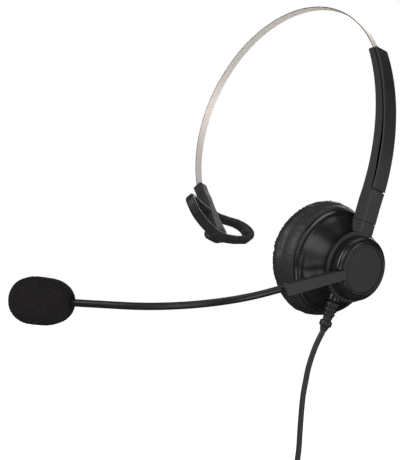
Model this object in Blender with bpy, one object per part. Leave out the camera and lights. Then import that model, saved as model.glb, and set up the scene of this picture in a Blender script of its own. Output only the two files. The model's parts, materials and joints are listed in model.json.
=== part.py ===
"""Single-ear office headset: a sprung steel headband with a temple rest at one end, and at the
other a sliding arm, a swivelling yoke, a padded ear cup, a turning boom and a corded USB lead.

Lengths are metres and +Z is up. The ear cup faces +X, the microphone is towards -Y, and the
origin is the underside of the headband at the crown of the head. Every piece is drawn in the
ear's own frame, whose origin is the middle of the cushion's face, and hangs from an empty that
carries that frame. Each moving body has an empty on its joint."""

import math

import bmesh
import bpy
from mathutils import Matrix, Vector

GAP = 0.0003                # between two pieces that touch
FIT = 0.0002                # round a pin or a screw in its hole

# Headband: a strip of spring steel in two arcs that meet smoothly.
BAND_WIDTH = 0.0045
BAND_THICK = 0.0006
BAND_R = 0.0703             # over the head
SLIDE_R = 0.1172            # inside the arm, flatter
SLIDE_CENTRE = Vector((-0.092927, 0, 0.034453))
STRIP_SEAT = 0.003681       # the length of strip inside the temple rest's stem
BAND_JOIN = 40              # degrees, where the two arcs meet
BAND_TAIL = 16.5            # degrees on the slide arc, where the strip ends in the arm

# Temple rest.
STEM_START = 219            # degrees on the band's arc
STEM_LEAN = 232             # degrees, the arc angle whose tangent the stem follows
STEM_WIDTH = 0.0062
STEM_THICK = 0.0060
PAD_LENGTH = 0.0410         # top of the stem to the lower edge of the rest
PAD_THICK = 0.0050
WING_REACH = 0.0272         # from the middle to the outer side of a wing
WING_TOP = 0.0222           # upper rim below the top of the stem
RIM_WIDTH = 0.0021
HEAD_RADIUS = 0.064         # the curve that the wings follow
PAD_TWIST = 6               # degrees about the stem, at rest
PIN_LENGTH = 0.0120
PIN_RADIUS = 0.0013

# Arm: a curved housing that the strip slides in.
ARM_TOP = 44.3              # degrees on the slide arc
COVER_END = 3.4             # degrees, lower end of the outer cover
ARM_FOOT = 0.0242           # height of the foot above the ear axis
ARM_WIDTH = 0.0095
ARM_INNER_R = 0.1137
ARM_OUTER_R = 0.1213
COVER_THICK = 0.0010
GROOVE = 0.0009             # shadow line between cover and shell
GROOVE_DEPTH = 0.0009
SLOT_CLEAR = 0.00025
STOP_WIDTH = 0.0058
STOP_LENGTH = 0.0040
TRAVEL = 14.5               # degrees of slide about the slide arc's centre
CHANNEL_END = 13.8

# Yoke, with the swivel pin and the ball stud.
SWIVEL_X = 0.0256
SWIVEL_R = 0.0015
RING_R = 0.0186
NECK_FOOT = 0.0176          # height of the yoke's square shoulder above the ear axis
RING_BACK = 0.0289
RING_FRONT = 0.0309
BEARING_R = 0.0060
STUD_R = 0.0020
BALL_R = 0.0040
BALL_X = 0.0235

# Ear cup.
CUSHION_R = 0.0305
CUSHION_HOLE = 0.0166
CUSHION_DEEP = 0.0143
BAFFLE_R = 0.0269
BAFFLE_THICK = 0.0015
SHELL_R = 0.0273
SHELL_START = CUSHION_DEEP + GAP
SHELL_TOP = 0.0274
SHELL_WALL = 0.0016
SPEAKER_R = 0.0146
SCREW_CIRCLE = 0.0205

# Boom hub and boom.
HUB_R = 0.0167
HUB_BACK = 0.0314
HUB_FACE = 0.0378
HUB_WALL = 0.0014
CAP_R = 0.0133
BOOM_DIP = 27.7             # degrees below the horizontal
BOOM_LENGTH = 0.0514
BAR_ROOT = 0.0047
BAR_TIP = 0.0063
BAR_THICK = 0.0036
NECK_R = 0.00185
NECK_X = 0.0332
NECK_STRAIGHT = 0.010
NECK_BEND_R = 0.077
NECK_BEND = 55
NECK_END = 0.025
FLEX_1 = 0.038              # along the gooseneck, where each bend is hinged
FLEX_2 = 0.072
FOAM_LENGTH = 0.034
FOAM_R = 0.0120
MIC_R = 0.0044
MIC_LENGTH = 0.0150

# Cord, its relief and its plug.
CORD_R = 0.0015
RELIEF_X = 0.0240
RELIEF_TOP = -0.0150
RELIEF_END = -0.0360
HANK_TOP = -0.1130
HANK_WIDE = 0.0340
HANK_HIGH = 0.0870
HANK_DEEP = 0.0157
HANK_X = 0.0241
LAYER = 0.00305             # between the layers of turns: the cord enters on the first, leaves on the fifth
HANK_Y = 0.0085
TIE_WALL = 0.0010
TIE_HIGH = 0.0080
PLUG_WIDE = 0.0155
PLUG_THICK = 0.0080
PLUG_LONG = 0.0220
USB_WIDE = 0.0120
USB_HIGH = 0.0045
USB_LONG = 0.0120
USB_WALL = 0.0004

X_AXIS = Vector((1, 0, 0))
Y_AXIS = Vector((0, 1, 0))
Z_AXIS = Vector((0, 0, 1))

COLOURS = {                 # base colour, roughness, metallic
    "band_steel": ((0.52, 0.49, 0.46), 0.30, 1.0),
    "bright_steel": ((0.62, 0.62, 0.62), 0.25, 1.0),
    "magnet_steel": ((0.30, 0.30, 0.31), 0.40, 1.0),
    "satin_plastic": ((0.045, 0.043, 0.045), 0.45, 0.0),
    "gloss_plastic": ((0.008, 0.008, 0.009), 0.12, 0.0),
    "matte_plastic": ((0.030, 0.029, 0.030), 0.60, 0.0),
    "temple_rubber": ((0.022, 0.022, 0.022), 0.55, 0.0),
    "cord_rubber": ((0.015, 0.015, 0.015), 0.50, 0.0),
    "leatherette": ((0.016, 0.015, 0.015), 0.42, 0.0),
    "foam": ((0.014, 0.013, 0.013), 0.95, 0.0),
    "cloth": ((0.02, 0.02, 0.02), 0.90, 0.0),
    "film": ((0.55, 0.52, 0.45), 0.30, 0.0),
    "board": ((0.02, 0.12, 0.05), 0.45, 0.0),
    "contact_gold": ((0.80, 0.58, 0.25), 0.25, 1.0),
}


def polar(centre, radius, degrees):
    """A point of the headband's plane, by its angle from +X about a centre."""
    angle = math.radians(degrees)
    return centre + radius * Vector((math.cos(angle), 0, math.sin(angle)))


def steps(start, end, count):
    return [start + (end - start) * i / count for i in range(count + 1)]


BAND_CENTRE = polar(SLIDE_CENTRE, SLIDE_R - BAND_R, BAND_JOIN)
BAND_TEMPLE = STEM_START + math.degrees(STRIP_SEAT / BAND_R)
CROWN = BAND_CENTRE + (BAND_R - BAND_THICK / 2) * Z_AXIS
STEM_TOP = polar(BAND_CENTRE, BAND_R, STEM_START)
STEM_DOWN = polar(Vector(), 1, STEM_LEAN + 90)
STEM_IN = -polar(Vector(), 1, STEM_LEAN)
BALL = BALL_X * X_AXIS
BOOM_OUT = Vector((0, -math.cos(math.radians(BOOM_DIP)), -math.sin(math.radians(BOOM_DIP))))
BOOM_SIDE = X_AXIS.cross(BOOM_OUT)
NECK_START = NECK_X * X_AXIS + BOOM_LENGTH * BOOM_OUT
NECK_ARC = NECK_BEND_R * math.radians(NECK_BEND)
NECK_LENGTH = NECK_STRAIGHT + NECK_ARC + NECK_END


def neck_point(along):
    """A point and the direction of the gooseneck, by the length along it: straight, bent, straight."""
    bent = min(max(along - NECK_STRAIGHT, 0), NECK_ARC) / NECK_BEND_R
    past = max(along - NECK_STRAIGHT - NECK_ARC, 0)
    heading = math.cos(bent) * BOOM_OUT - math.sin(bent) * X_AXIS
    forward = min(along, NECK_STRAIGHT) + NECK_BEND_R * math.sin(bent)
    inward = NECK_BEND_R * (1 - math.cos(bent))
    return NECK_START + forward * BOOM_OUT - inward * X_AXIS + past * heading, heading


FLEX_1_AT = neck_point(FLEX_1)[0]
FLEX_2_AT = neck_point(FLEX_2)[0]
BODIES = {                  # name: (parent, a point on its joint, in the ear's frame)
    "headband": ("ear_frame", Vector()),
    "temple_rest": ("headband", STEM_TOP),
    "arm": ("headband", SLIDE_CENTRE),
    "yoke": ("arm", SWIVEL_X * X_AXIS + ARM_FOOT * Z_AXIS),
    "ear_cup": ("yoke", BALL),
    "boom": ("yoke", HUB_BACK * X_AXIS),
    "neck_middle": ("boom", FLEX_1_AT),
    "microphone": ("neck_middle", FLEX_2_AT),
}
ORIGINS = {"ear_frame": Vector()} | {name: at for name, (_, at) in BODIES.items()}


def add_bodies():
    empties = {"ear_frame": bpy.data.objects.new("ear_frame", None)}
    empties["ear_frame"].location = -CROWN
    for name, (parent, at) in BODIES.items():
        empties[name] = bpy.data.objects.new(name + "_joint", None)
        empties[name].parent = empties[parent]
        empties[name].location = at - ORIGINS[parent]
    for empty in empties.values():
        empty.empty_display_size = 0.01
        bpy.context.scene.collection.objects.link(empty)
    return empties


for old in list(bpy.data.objects):
    bpy.data.objects.remove(old)
EMPTIES = add_bodies()


def material(slot):
    if slot in bpy.data.materials:
        return bpy.data.materials[slot]
    made = bpy.data.materials.new(slot)
    made.use_nodes = True
    shader = made.node_tree.nodes["Principled BSDF"]
    colour, roughness, metallic = COLOURS[slot]
    shader.inputs["Base Color"].default_value = (*colour, 1)
    shader.inputs["Roughness"].default_value = roughness
    shader.inputs["Metallic"].default_value = metallic
    made.diffuse_color = (*colour, 1)
    return made


def add(name, bm, body, slot=None):
    """The finished object of a bmesh drawn in the ear's frame. With no slot it is a cutter."""
    bmesh.ops.remove_doubles(bm, verts=bm.verts, dist=1e-7)
    bmesh.ops.recalc_face_normals(bm, faces=bm.faces)
    mesh = bpy.data.meshes.new(name)
    bm.to_mesh(mesh)
    bm.free()
    obj = bpy.data.objects.new(name, mesh)
    bpy.context.scene.collection.objects.link(obj)
    obj.parent = EMPTIES[body]
    obj.location = -ORIGINS[body]
    if slot:
        mesh.materials.append(material(slot))
        mesh.shade_smooth()
        mesh.set_sharp_from_angle(angle=math.radians(35))
    else:
        obj.hide_render = True
        obj.display_type = "WIRE"
    return obj


def combine(obj, other, operation):
    modifier = obj.modifiers.new(other.name, "BOOLEAN")
    modifier.object = other
    modifier.operation = operation


def cut(obj, *cutters):
    for cutter in cutters:
        combine(obj, cutter, "DIFFERENCE")


def join(obj, *others):
    for other in others:
        combine(obj, other, "UNION")


def lofted(rings):
    """Quads between rings of points, closed by a face at each end."""
    bm = bmesh.new()
    rows = [[bm.verts.new(point) for point in ring] for ring in rings]
    for row, after in zip(rows, rows[1:]):
        for i in range(len(row)):
            j = (i + 1) % len(row)
            bm.faces.new((row[i], row[j], after[j], after[i]))
    bm.faces.new(rows[0])
    bm.faces.new(rows[-1])
    bmesh.ops.triangulate(bm, faces=bm.faces)
    return bm


def merged(parts):
    """Several shapes in one bmesh, to cut or join at one time."""
    whole = bmesh.new()
    for part in parts:
        mesh = bpy.data.meshes.new("piece")
        part.to_mesh(mesh)
        part.free()
        whole.from_mesh(mesh)
        bpy.data.meshes.remove(mesh)
    return whole


def turned(outline, centre=Vector(), axis=X_AXIS, segments=32):
    """A closed outline of (radius, height) points, spun about an axis."""
    bm = bmesh.new()
    verts = [bm.verts.new((radius, 0, height)) for radius, height in outline]
    ends = zip(outline, outline[1:] + outline[:1], verts, verts[1:] + verts[:1])
    edges = [bm.edges.new((v, w)) for a, b, v, w in ends if a[0] > 0 or b[0] > 0]
    bmesh.ops.spin(bm, geom=verts + edges, axis=Z_AXIS, cent=(0, 0, 0), angle=math.tau,
                   steps=segments, use_merge=True)
    bmesh.ops.remove_doubles(bm, verts=bm.verts, dist=1e-7)
    bmesh.ops.dissolve_verts(bm, verts=[v for v in bm.verts if v.co.xy.length < 1e-9])
    turn = Z_AXIS.rotation_difference(axis).to_matrix().to_4x4()
    bmesh.ops.transform(bm, matrix=Matrix.Translation(centre) @ turn, verts=bm.verts)
    return bm


def drum(radius, start, end, centre=Vector(), axis=X_AXIS, segments=32):
    return turned([(0, start), (radius, start), (radius, end), (0, end)], centre, axis, segments)


def washer(inner, outer, start, end, centre=Vector(), axis=X_AXIS, segments=32):
    outline = [(inner, start), (outer, start), (outer, end), (inner, end)]
    return turned(outline, centre, axis, segments)


def prism(outline, origin, across, up, depth):
    """A flat outline of (across, up) points, drawn out by depth along across x up."""
    out = across.cross(up).normalized() * depth
    ring = [origin + a * across + b * up for a, b in outline]
    return lofted([ring, [point + out for point in ring]])


def slab(low, high):
    bm = bmesh.new()
    low, high = Vector(low), Vector(high)
    size = high - low
    place = Matrix.Translation((low + high) / 2) @ Matrix.Diagonal((*size, 1))
    bmesh.ops.create_cube(bm, size=1, matrix=place)
    return bm


def round_rectangle(wide, high, corner, segments=3):
    """The outline of a rectangle with round corners, centred on the origin."""
    points = []
    for quarter in range(4):
        a, b = [(1, 1), (-1, 1), (-1, -1), (1, -1)][quarter]
        for angle in steps(90 * quarter, 90 * quarter + 90, segments):
            turn = math.radians(angle)
            points.append((a * (wide / 2 - corner) + corner * math.cos(turn),
                           b * (high / 2 - corner) + corner * math.sin(turn)))
    return points


def strip_ring(centre, radius, degrees, width, thick):
    """The strip's section: width across Y and thickness along the radius."""
    inner = polar(centre, radius - thick / 2, degrees)
    outer = polar(centre, radius + thick / 2, degrees)
    side = width / 2 * Y_AXIS
    return [inner - side, inner + side, outer + side, outer - side]


# ---- headband ----

def headband():
    over = [strip_ring(BAND_CENTRE, BAND_R, a, BAND_WIDTH, BAND_THICK)
            for a in steps(BAND_TEMPLE, BAND_JOIN, 52)]
    tail = [strip_ring(SLIDE_CENTRE, SLIDE_R, a, BAND_WIDTH, BAND_THICK)
            for a in steps(BAND_JOIN, BAND_TAIL, 8)[1:]]
    strip = add("band_strip", lofted(over + tail), "headband", "band_steel")

    # A wider plate riveted to the tail keeps the strip from being pulled out of the arm.
    length = math.degrees(STOP_LENGTH / SLIDE_R)
    thick = 0.0010
    radius = SLIDE_R + BAND_THICK / 2 + GAP + thick / 2
    rings = [strip_ring(SLIDE_CENTRE, radius, a, STOP_WIDTH, thick)
             for a in steps(BAND_TAIL, BAND_TAIL + length, 2)]
    stop = add("band_stop", lofted(rings), "headband", "bright_steel")
    rivet(strip, stop, polar(SLIDE_CENTRE, SLIDE_R, BAND_TAIL + length / 2),
          polar(Vector(), 1, BAND_TAIL + length / 2), BAND_THICK / 2 + GAP + thick, "tail_rivet")
    return strip


def rivet(strip, plate, at, out, over, name):
    """A rivet through the strip and a plate on its outer side, flush within and headed outside."""
    shank, head, thick = 0.0006, 0.0012, 0.0003
    hole = add(name + "_hole", drum(shank + FIT, -0.003, 0.003, at, out, 12), "headband")
    cut(strip, hole)
    cut(plate, hole)
    low = -BAND_THICK / 2
    high = over + GAP / 2
    outline = [(0, low), (shank, low), (shank, high), (head, high), (head, high + thick),
               (0, high + thick)]
    add(name, turned(outline, at, out, 12), "headband", "bright_steel")


# ---- temple rest ----

def rest_point(across, down, inward):
    """A point of the temple rest: the wings curve inwards, and the whole rest is twisted a little."""
    inward += across * across / (2 * HEAD_RADIUS)
    twist = math.radians(PAD_TWIST)
    side = across * math.cos(twist) + inward * math.sin(twist)
    depth = inward * math.cos(twist) - across * math.sin(twist)
    return STEM_TOP + side * Y_AXIS + down * STEM_DOWN + depth * STEM_IN


def rest_ring(half, down, inner, outer, corner):
    """A chamfered rectangle across the stem, at one distance down it."""
    outline = [(-half, -outer + corner), (-half + corner, -outer), (half - corner, -outer),
               (half, -outer + corner), (half, inner - corner), (half - corner, inner),
               (-half + corner, inner), (-half, inner - corner)]
    return [rest_point(a, down, b) for a, b in outline]


def wing_path():
    """The middle line of one wing's rim, from inside the stem round its outer end and back,
    with half the rim's width at each point."""
    low = PAD_LENGTH - 0.0012
    reach = WING_REACH - 0.0022
    middle = (WING_TOP + low) / 2 - 0.0014
    points = [(0.0005, WING_TOP, 1), (0.0070, WING_TOP, 1), (0.0140, WING_TOP, 1),
              (reach - 0.0060, WING_TOP + 0.0003, 1.05)]
    for angle in steps(-60, 60, 6):
        turn = math.radians(angle)
        points.append((reach - 0.0058 + 0.0058 * math.cos(turn),
                       middle + 0.0063 * math.sin(turn), 1.9 - abs(angle) / 100))
    points += [(reach - 0.0062, low - 0.0040, 1.2), (0.0140, low - 0.0026, 1.1),
               (0.0070, low - 0.0012, 1.1), (0.0005, low, 1.1)]
    return [(a, b, c * RIM_WIDTH / 2) for a, b, c in points]


def wing_rings(side):
    path = wing_path()
    rings = []
    for i, (a, b, half) in enumerate(path):
        before, after = path[max(i - 1, 0)], path[min(i + 1, len(path) - 1)]
        along = Vector((after[0] - before[0], after[1] - before[1])).normalized()
        out = Vector((along.y, -along.x))
        section = [(-1, -0.8), (-0.7, -1), (0.7, -1), (1, -0.8), (1, 0.8), (0.7, 1), (-0.7, 1), (-1, 0.8)]
        rings.append([rest_point(side * (a + u * half * out.x), b + u * half * out.y, v * PAD_THICK / 2)
                      for u, v in section])
    return rings


def temple_rest():
    half, thick = STEM_WIDTH / 2, STEM_THICK / 2
    rings = [rest_ring(half, 0, thick, thick, 0.0006),
             rest_ring(half, WING_TOP - 0.004, thick - 0.0003, thick - 0.0003, 0.0006),
             rest_ring(half + 0.0012, WING_TOP + 0.006, PAD_THICK / 2, PAD_THICK / 2, 0.0008),
             rest_ring(half + 0.0022, PAD_LENGTH - 0.0045, PAD_THICK / 2, PAD_THICK / 2, 0.0008),
             rest_ring(half + 0.0016, PAD_LENGTH, PAD_THICK / 2 - 0.0004, PAD_THICK / 2, 0.0008)]
    rest = add("temple_rest", lofted(rings), "temple_rest", "temple_rubber")
    for side, name in ((-1, "front"), (1, "back")):
        join(rest, add(f"wing_{name}_shape", lofted(wing_rings(side)), "temple_rest"))
    heel = [rest_ring(0.0042, PAD_LENGTH - 0.0078, -PAD_THICK / 2 + 0.001, 0.0048, 0.0006),
            rest_ring(0.0048, PAD_LENGTH - 0.0058, -PAD_THICK / 2 + 0.001, 0.0064, 0.0010),
            rest_ring(0.0048, PAD_LENGTH - 0.0032, -PAD_THICK / 2 + 0.001, 0.0062, 0.0010),
            rest_ring(0.0042, PAD_LENGTH - 0.0012, -PAD_THICK / 2 + 0.001, 0.0044, 0.0006)]
    join(rest, add("heel_shape", lofted(heel), "temple_rest"))
    # The strip's end and the pin that the rest swivels on sit in a slot and a bore down the stem.
    slot = prism(round_rectangle(BAND_WIDTH + 0.0008, 0.0036, 0.0004, 2), STEM_TOP - 0.002 * STEM_DOWN,
                 Y_AXIS, STEM_IN, 0.0062)
    bore = drum(PIN_RADIUS + FIT, -0.002, PIN_LENGTH + 0.0042 + GAP, STEM_TOP, STEM_DOWN, 16)
    cut(rest, add("stem_slot", slot, "temple_rest"), add("stem_bore", bore, "temple_rest"))
    pin = [(0, 0.0041), (PIN_RADIUS - 0.0003, 0.0041), (PIN_RADIUS, 0.0045),
           (PIN_RADIUS, PIN_LENGTH + 0.0038), (PIN_RADIUS - 0.0004, PIN_LENGTH + 0.0042),
           (0, PIN_LENGTH + 0.0042)]
    add("temple_pin", turned(pin, STEM_TOP, STEM_DOWN, 16), "headband", "bright_steel")


# ---- arm ----

def outer_radius(degrees):
    """The arm grows a little deeper towards its foot."""
    return ARM_OUTER_R + 0.0012 * max(0, 1 - degrees / 22) - 0.0008 * max(0, degrees / 22 - 1)


def inner_radius(degrees):
    return ARM_INNER_R + 0.0012 * max(0, (degrees - 14) / 30) ** 1.5


def across_arm(centre, degrees, points):
    out = polar(Vector(), 1, degrees)
    return [centre + r * out + y * Y_AXIS for y, r in points]


def shell_section(degrees, grooved):
    half, chamfer = ARM_WIDTH / 2, 0.0008
    low, high = inner_radius(degrees), outer_radius(degrees)
    if not grooved:
        return [(-half, low + chamfer), (-half + chamfer, low), (half - chamfer, low),
                (half, low + chamfer), (half, high - 0.0016), (half, high - 0.0006),
                (half - 0.0006, high), (-half + 0.0006, high), (-half, high - 0.0006),
                (-half, high - 0.0016)]
    ledge = high - COVER_THICK - GROOVE
    tongue = high - COVER_THICK - GAP
    inset = half - GROOVE_DEPTH
    return [(-half, low + chamfer), (-half + chamfer, low), (half - chamfer, low),
            (half, low + chamfer), (half, ledge - 0.0002), (half, ledge), (inset, ledge),
            (inset, tongue), (-inset, tongue), (-inset, ledge)] + [(-half, ledge)]


def arm_shell():
    rings = []
    for degrees in steps(ARM_TOP, COVER_END - 0.3, 22):
        section = shell_section(degrees, True)
        rings.append(across_arm(SLIDE_CENTRE, degrees, section))
    plain = shell_section(COVER_END - 0.35, False)
    plain.insert(5, (ARM_WIDTH / 2, outer_radius(3) - 0.0011))
    rings.append(across_arm(SLIDE_CENTRE, COVER_END - 0.35, plain))
    # Below the slide arc's centre height the arm runs straight down to its foot.
    for height in steps(SLIDE_CENTRE.z, ARM_FOOT, 2):
        drift = (SLIDE_CENTRE.z - height) * 0.09
        level = shell_section(0, False)
        level.insert(5, (ARM_WIDTH / 2, outer_radius(0) - 0.0011))
        rings.append([Vector((SLIDE_CENTRE.x + r + drift, y, height)) for y, r in level])
    shell = add("arm_shell", lofted(rings), "arm", "satin_plastic")

    floor = SLIDE_R - BAND_THICK / 2 - SLOT_CLEAR
    top = ARM_OUTER_R + 0.004
    lanes = ((BAND_WIDTH + 2 * SLOT_CLEAR, ARM_TOP + 1.5, BAND_TAIL + TRAVEL + 2.2, "narrow"),
             (STOP_WIDTH + 2 * GAP, BAND_TAIL + TRAVEL + 2.3, CHANNEL_END, "wide"))
    for width, start, end, name in lanes:
        rings = [strip_ring(SLIDE_CENTRE, (floor + top) / 2, a, width, top - floor)
                 for a in steps(start, end, 10)]
        cut(shell, add(name + "_channel", lofted(rings), "arm"))
    # The strip leaves the channel on its tighter arc, so the mouth is flared inwards.
    mouth = [strip_ring(SLIDE_CENTRE, SLIDE_R - 0.0006, ARM_TOP + 1, BAND_WIDTH + 2 * SLOT_CLEAR, 0.0022),
             strip_ring(SLIDE_CENTRE, SLIDE_R, ARM_TOP - 5, BAND_WIDTH + 2 * SLOT_CLEAR, 0.0011)]
    cut(shell, add("mouth_flare", lofted(mouth), "arm"))

    pocket = slab((SWIVEL_X - 0.0034, -0.0034, SLIDE_CENTRE.z + 0.0080),
                  (SWIVEL_X + 0.0060, 0.0034, SLIDE_CENTRE.z + 0.0140))
    bore = drum(SWIVEL_R + FIT, ARM_FOOT - 0.002, SLIDE_CENTRE.z + 0.009, SWIVEL_X * X_AXIS, Z_AXIS, 20)
    cut(shell, add("clip_pocket", pocket, "arm"), add("swivel_bore", bore, "arm"))
    return shell


def arm_cover(shell):
    half, edge = ARM_WIDTH / 2, 0.0005
    rings = []
    for degrees in steps(ARM_TOP - 0.3, COVER_END, 22):
        high = outer_radius(degrees)
        low = high - COVER_THICK
        section = [(-half, low), (half, low), (half, high - edge), (half - edge, high),
                   (-half + edge, high), (-half, high - edge)]
        rings.append(across_arm(SLIDE_CENTRE, degrees, section))
    cover = add("arm_cover", lofted(rings), "arm", "satin_plastic")
    # A rib backs the friction spring, and a boss takes the screw from the inner side.
    rings = [strip_ring(SLIDE_CENTRE, SLIDE_R + 0.0023, a, 0.0040, 0.0014)
             for a in steps(ARM_TOP - 1.5, 34.5, 6)]
    join(cover, add("rib_shape", lofted(rings), "arm"))
    screw_angle = 11.2
    out = polar(Vector(), 1, screw_angle)
    low = inner_radius(screw_angle)
    high = outer_radius(screw_angle)
    boss = drum(0.0020, low + 0.0028, high - 0.0004, SLIDE_CENTRE, out, 20)
    join(cover, add("boss_shape", boss, "arm"))
    pilot = drum(0.0007 + FIT, low + 0.0020, high - 0.0012, SLIDE_CENTRE, out, 12)
    cut(cover, add("boss_pilot", pilot, "arm"))
    sink, way, well = 0.0016 + FIT, 0.0007 + FIT, 0.0020 + GAP
    stepped = [(0, low - 0.002), (sink, low - 0.002), (sink, low + 0.0013), (way, low + 0.0013),
               (way, low + 0.0025), (well, low + 0.0025), (well, high + 0.002), (0, high + 0.002)]
    cut(shell, add("screw_well", turned(stepped, SLIDE_CENTRE, out, 20), "arm"))
    screw("arm_screw", SLIDE_CENTRE + (low + 0.0012) * out, out, 0.0016, 0.0009, 0.0007, 0.0046, "arm")


def screw(name, at, along, head_r, head_h, shank_r, length, body):
    """A pan-head screw with a cross recess, driven along the given direction from its head's seat."""
    outline = [(0, -head_h), (head_r * 0.8, -head_h), (head_r, -head_h * 0.6), (head_r, 0),
               (shank_r, 0), (shank_r, length), (0, length)]
    made = add(name, turned(outline, at, along, 16), body, "bright_steel")
    side = along.cross(Y_AXIS if abs(along.y) < 0.9 else X_AXIS).normalized()
    for i, across in enumerate((side, along.cross(side))):
        recess = prism(round_rectangle(head_r * 1.2, head_r * 0.24, head_r * 0.05, 1),
                       at - head_h * 2 * along, across, along.cross(across), head_h * 1.6)
        cut(made, add(f"{name}_recess_{i + 1}", recess, body))
    return made


def friction_spring():
    rings = []
    for degrees in steps(ARM_TOP - 2.2, 35.2, 10):
        share = abs(2 * (degrees - 35.2) / (ARM_TOP - 2.2 - 35.2) - 1)
        radius = SLIDE_R + BAND_THICK / 2 + 0.00042 + 0.0003 * share ** 2
        rings.append(strip_ring(SLIDE_CENTRE, radius, degrees, 0.0034, 0.00025))
    add("friction_spring", lofted(rings), "arm", "bright_steel")


def swivel_pin():
    top = SLIDE_CENTRE.z + 0.0112
    low = NECK_FOOT + 0.0030
    clip = SLIDE_CENTRE.z + 0.0086
    r, waist = SWIVEL_R, SWIVEL_R - 0.0004
    outline = [(0, low), (r - 0.0003, low), (r, low + 0.0003), (r, clip - 0.0001),
               (waist, clip - 0.0001), (waist, clip + 0.0009), (r, clip + 0.0009),
               (r, top - 0.0004), (r - 0.0004, top), (0, top)]
    add("swivel_pin", turned(outline, SWIVEL_X * X_AXIS, Z_AXIS, 20), "yoke", "bright_steel")
    add("swivel_clip", washer(waist + FIT / 2, SWIVEL_R + 0.0006, clip + 0.0001, clip + 0.0007,
                              SWIVEL_X * X_AXIS, Z_AXIS, 20), "yoke", "bright_steel")


# ---- yoke ----

def yoke():
    top = ARM_FOOT - GAP
    half = ARM_WIDTH / 2
    inner = SLIDE_CENTRE.x + inner_radius(0) + 0.09 * (SLIDE_CENTRE.z - ARM_FOOT)
    outer = SLIDE_CENTRE.x + outer_radius(0) + 0.09 * (SLIDE_CENTRE.z - ARM_FOOT)
    slope = 0.0029
    profile = [(top, inner, outer), (NECK_FOOT + 0.0004, inner + slope, RING_FRONT),
               (NECK_FOOT, inner + slope + 0.0004, RING_FRONT),
               (NECK_FOOT - 0.0001, RING_BACK, RING_FRONT), (0.0135, RING_BACK + 0.0002, RING_FRONT)]
    rings = []
    for z, low, high in profile:
        c = 0.0007
        rings.append([Vector((x, y, z)) for x, y in (
            (low, -half + c), (low + c / 2, -half), (high - c, -half), (high, -half + c),
            (high, half - c), (high - c, half), (low + c / 2, half), (low, half - c))])
    made = add("yoke", lofted(rings), "yoke", "satin_plastic")
    edge = 0.0004
    plate = turned([(STUD_R + FIT, RING_BACK), (RING_R - edge, RING_BACK), (RING_R, RING_BACK + edge),
                    (RING_R, RING_FRONT - edge), (RING_R - edge, RING_FRONT),
                    (BEARING_R, RING_FRONT), (BEARING_R, HUB_BACK + HUB_WALL + GAP),
                    (STUD_R + FIT, HUB_BACK + HUB_WALL + GAP)], segments=56)
    join(made, add("ring_shape", plate, "yoke"))
    socket = drum(SWIVEL_R + FIT, NECK_FOOT + 0.0028, ARM_FOOT + 0.002, SWIVEL_X * X_AXIS, Z_AXIS, 20)
    cut(made, add("pin_socket", socket, "yoke"))


def ball_stud():
    """The stud's ball turns in the cup, and its thread holds the hub's washer and nut."""
    points = [(0, BALL_X - BALL_R)]
    neck = math.degrees(math.asin(STUD_R / BALL_R))
    for angle in steps(-75, 90 - neck, 9):
        turn = math.radians(angle)
        points.append((BALL_R * math.cos(turn), BALL_X + BALL_R * math.sin(turn)))
    points += [(STUD_R, 0.0357), (STUD_R - 0.0003, 0.0360), (0, 0.0360)]
    add("ball_stud", turned(points, segments=24), "yoke", "bright_steel")
    inner = HUB_BACK + HUB_WALL + 2 * GAP
    add("hub_washer", washer(STUD_R + FIT, 0.0088, inner, inner + 0.0006), "yoke", "bright_steel")
    start = inner + 0.0006 + GAP
    nut = add("stud_nut", drum(0.0042, start, start + 0.0014, segments=6), "yoke", "bright_steel")
    thread = drum(STUD_R + FIT, start - 0.002, start + 0.004, segments=24)
    cut(nut, add("nut_thread", thread, "yoke"))


# ---- ear cup ----

def ear_cushion():
    """Plain solid of the padded ring: it is soft, and its skin tucks round the baffle's edge."""
    r, hole, deep = CUSHION_R, CUSHION_HOLE, CUSHION_DEEP
    lap = BAFFLE_R + GAP
    back = deep - BAFFLE_THICK - GAP
    outline = [(hole + 0.0030, 0.0003), (hole + 0.0072, 0), (r - 0.0030, 0.0006), (r - 0.0008, 0.0019),
               (r, 0.0038), (r - 0.0001, 0.0064), (r - 0.0006, 0.0090), (r - 0.0013, 0.0112),
               (r - 0.0020, 0.0130), (r - 0.0026, deep), (lap, deep), (lap, back),
               (hole + 0.0006, back), (hole, back - 0.0020), (hole, 0.0036), (hole + 0.0010, 0.0014)]
    add("ear_cushion", turned(outline, segments=48), "ear_cup", "leatherette")
    add("ear_screen", drum(CUSHION_HOLE - 0.0006, back - 0.0014, back - GAP, segments=32), "ear_cup", "cloth")


def baffle():
    start = CUSHION_DEEP - BAFFLE_THICK
    wall = SPEAKER_R + GAP
    plate = turned([(0, start), (BAFFLE_R, start), (BAFFLE_R, CUSHION_DEEP), (wall + 0.0012, CUSHION_DEEP),
                    (wall + 0.0012, CUSHION_DEEP + 0.0026), (wall, CUSHION_DEEP + 0.0026),
                    (wall, CUSHION_DEEP), (0, CUSHION_DEEP)], segments=48)
    made = add("baffle_plate", plate, "ear_cup", "matte_plastic")
    places = [(0, 0)] + [(0.0062, 60 * i) for i in range(6)] + [(0.0110, 60 * i + 30) for i in range(6)]
    holes = []
    for radius, angle in places:
        turn = math.radians(angle)
        at = Vector((0, radius * math.cos(turn), radius * math.sin(turn)))
        holes.append(drum(0.0014, start - 0.001, CUSHION_DEEP + 0.001, at, segments=12))
    cut(made, add("sound_holes", merged(holes), "ear_cup"))
    return made


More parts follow.
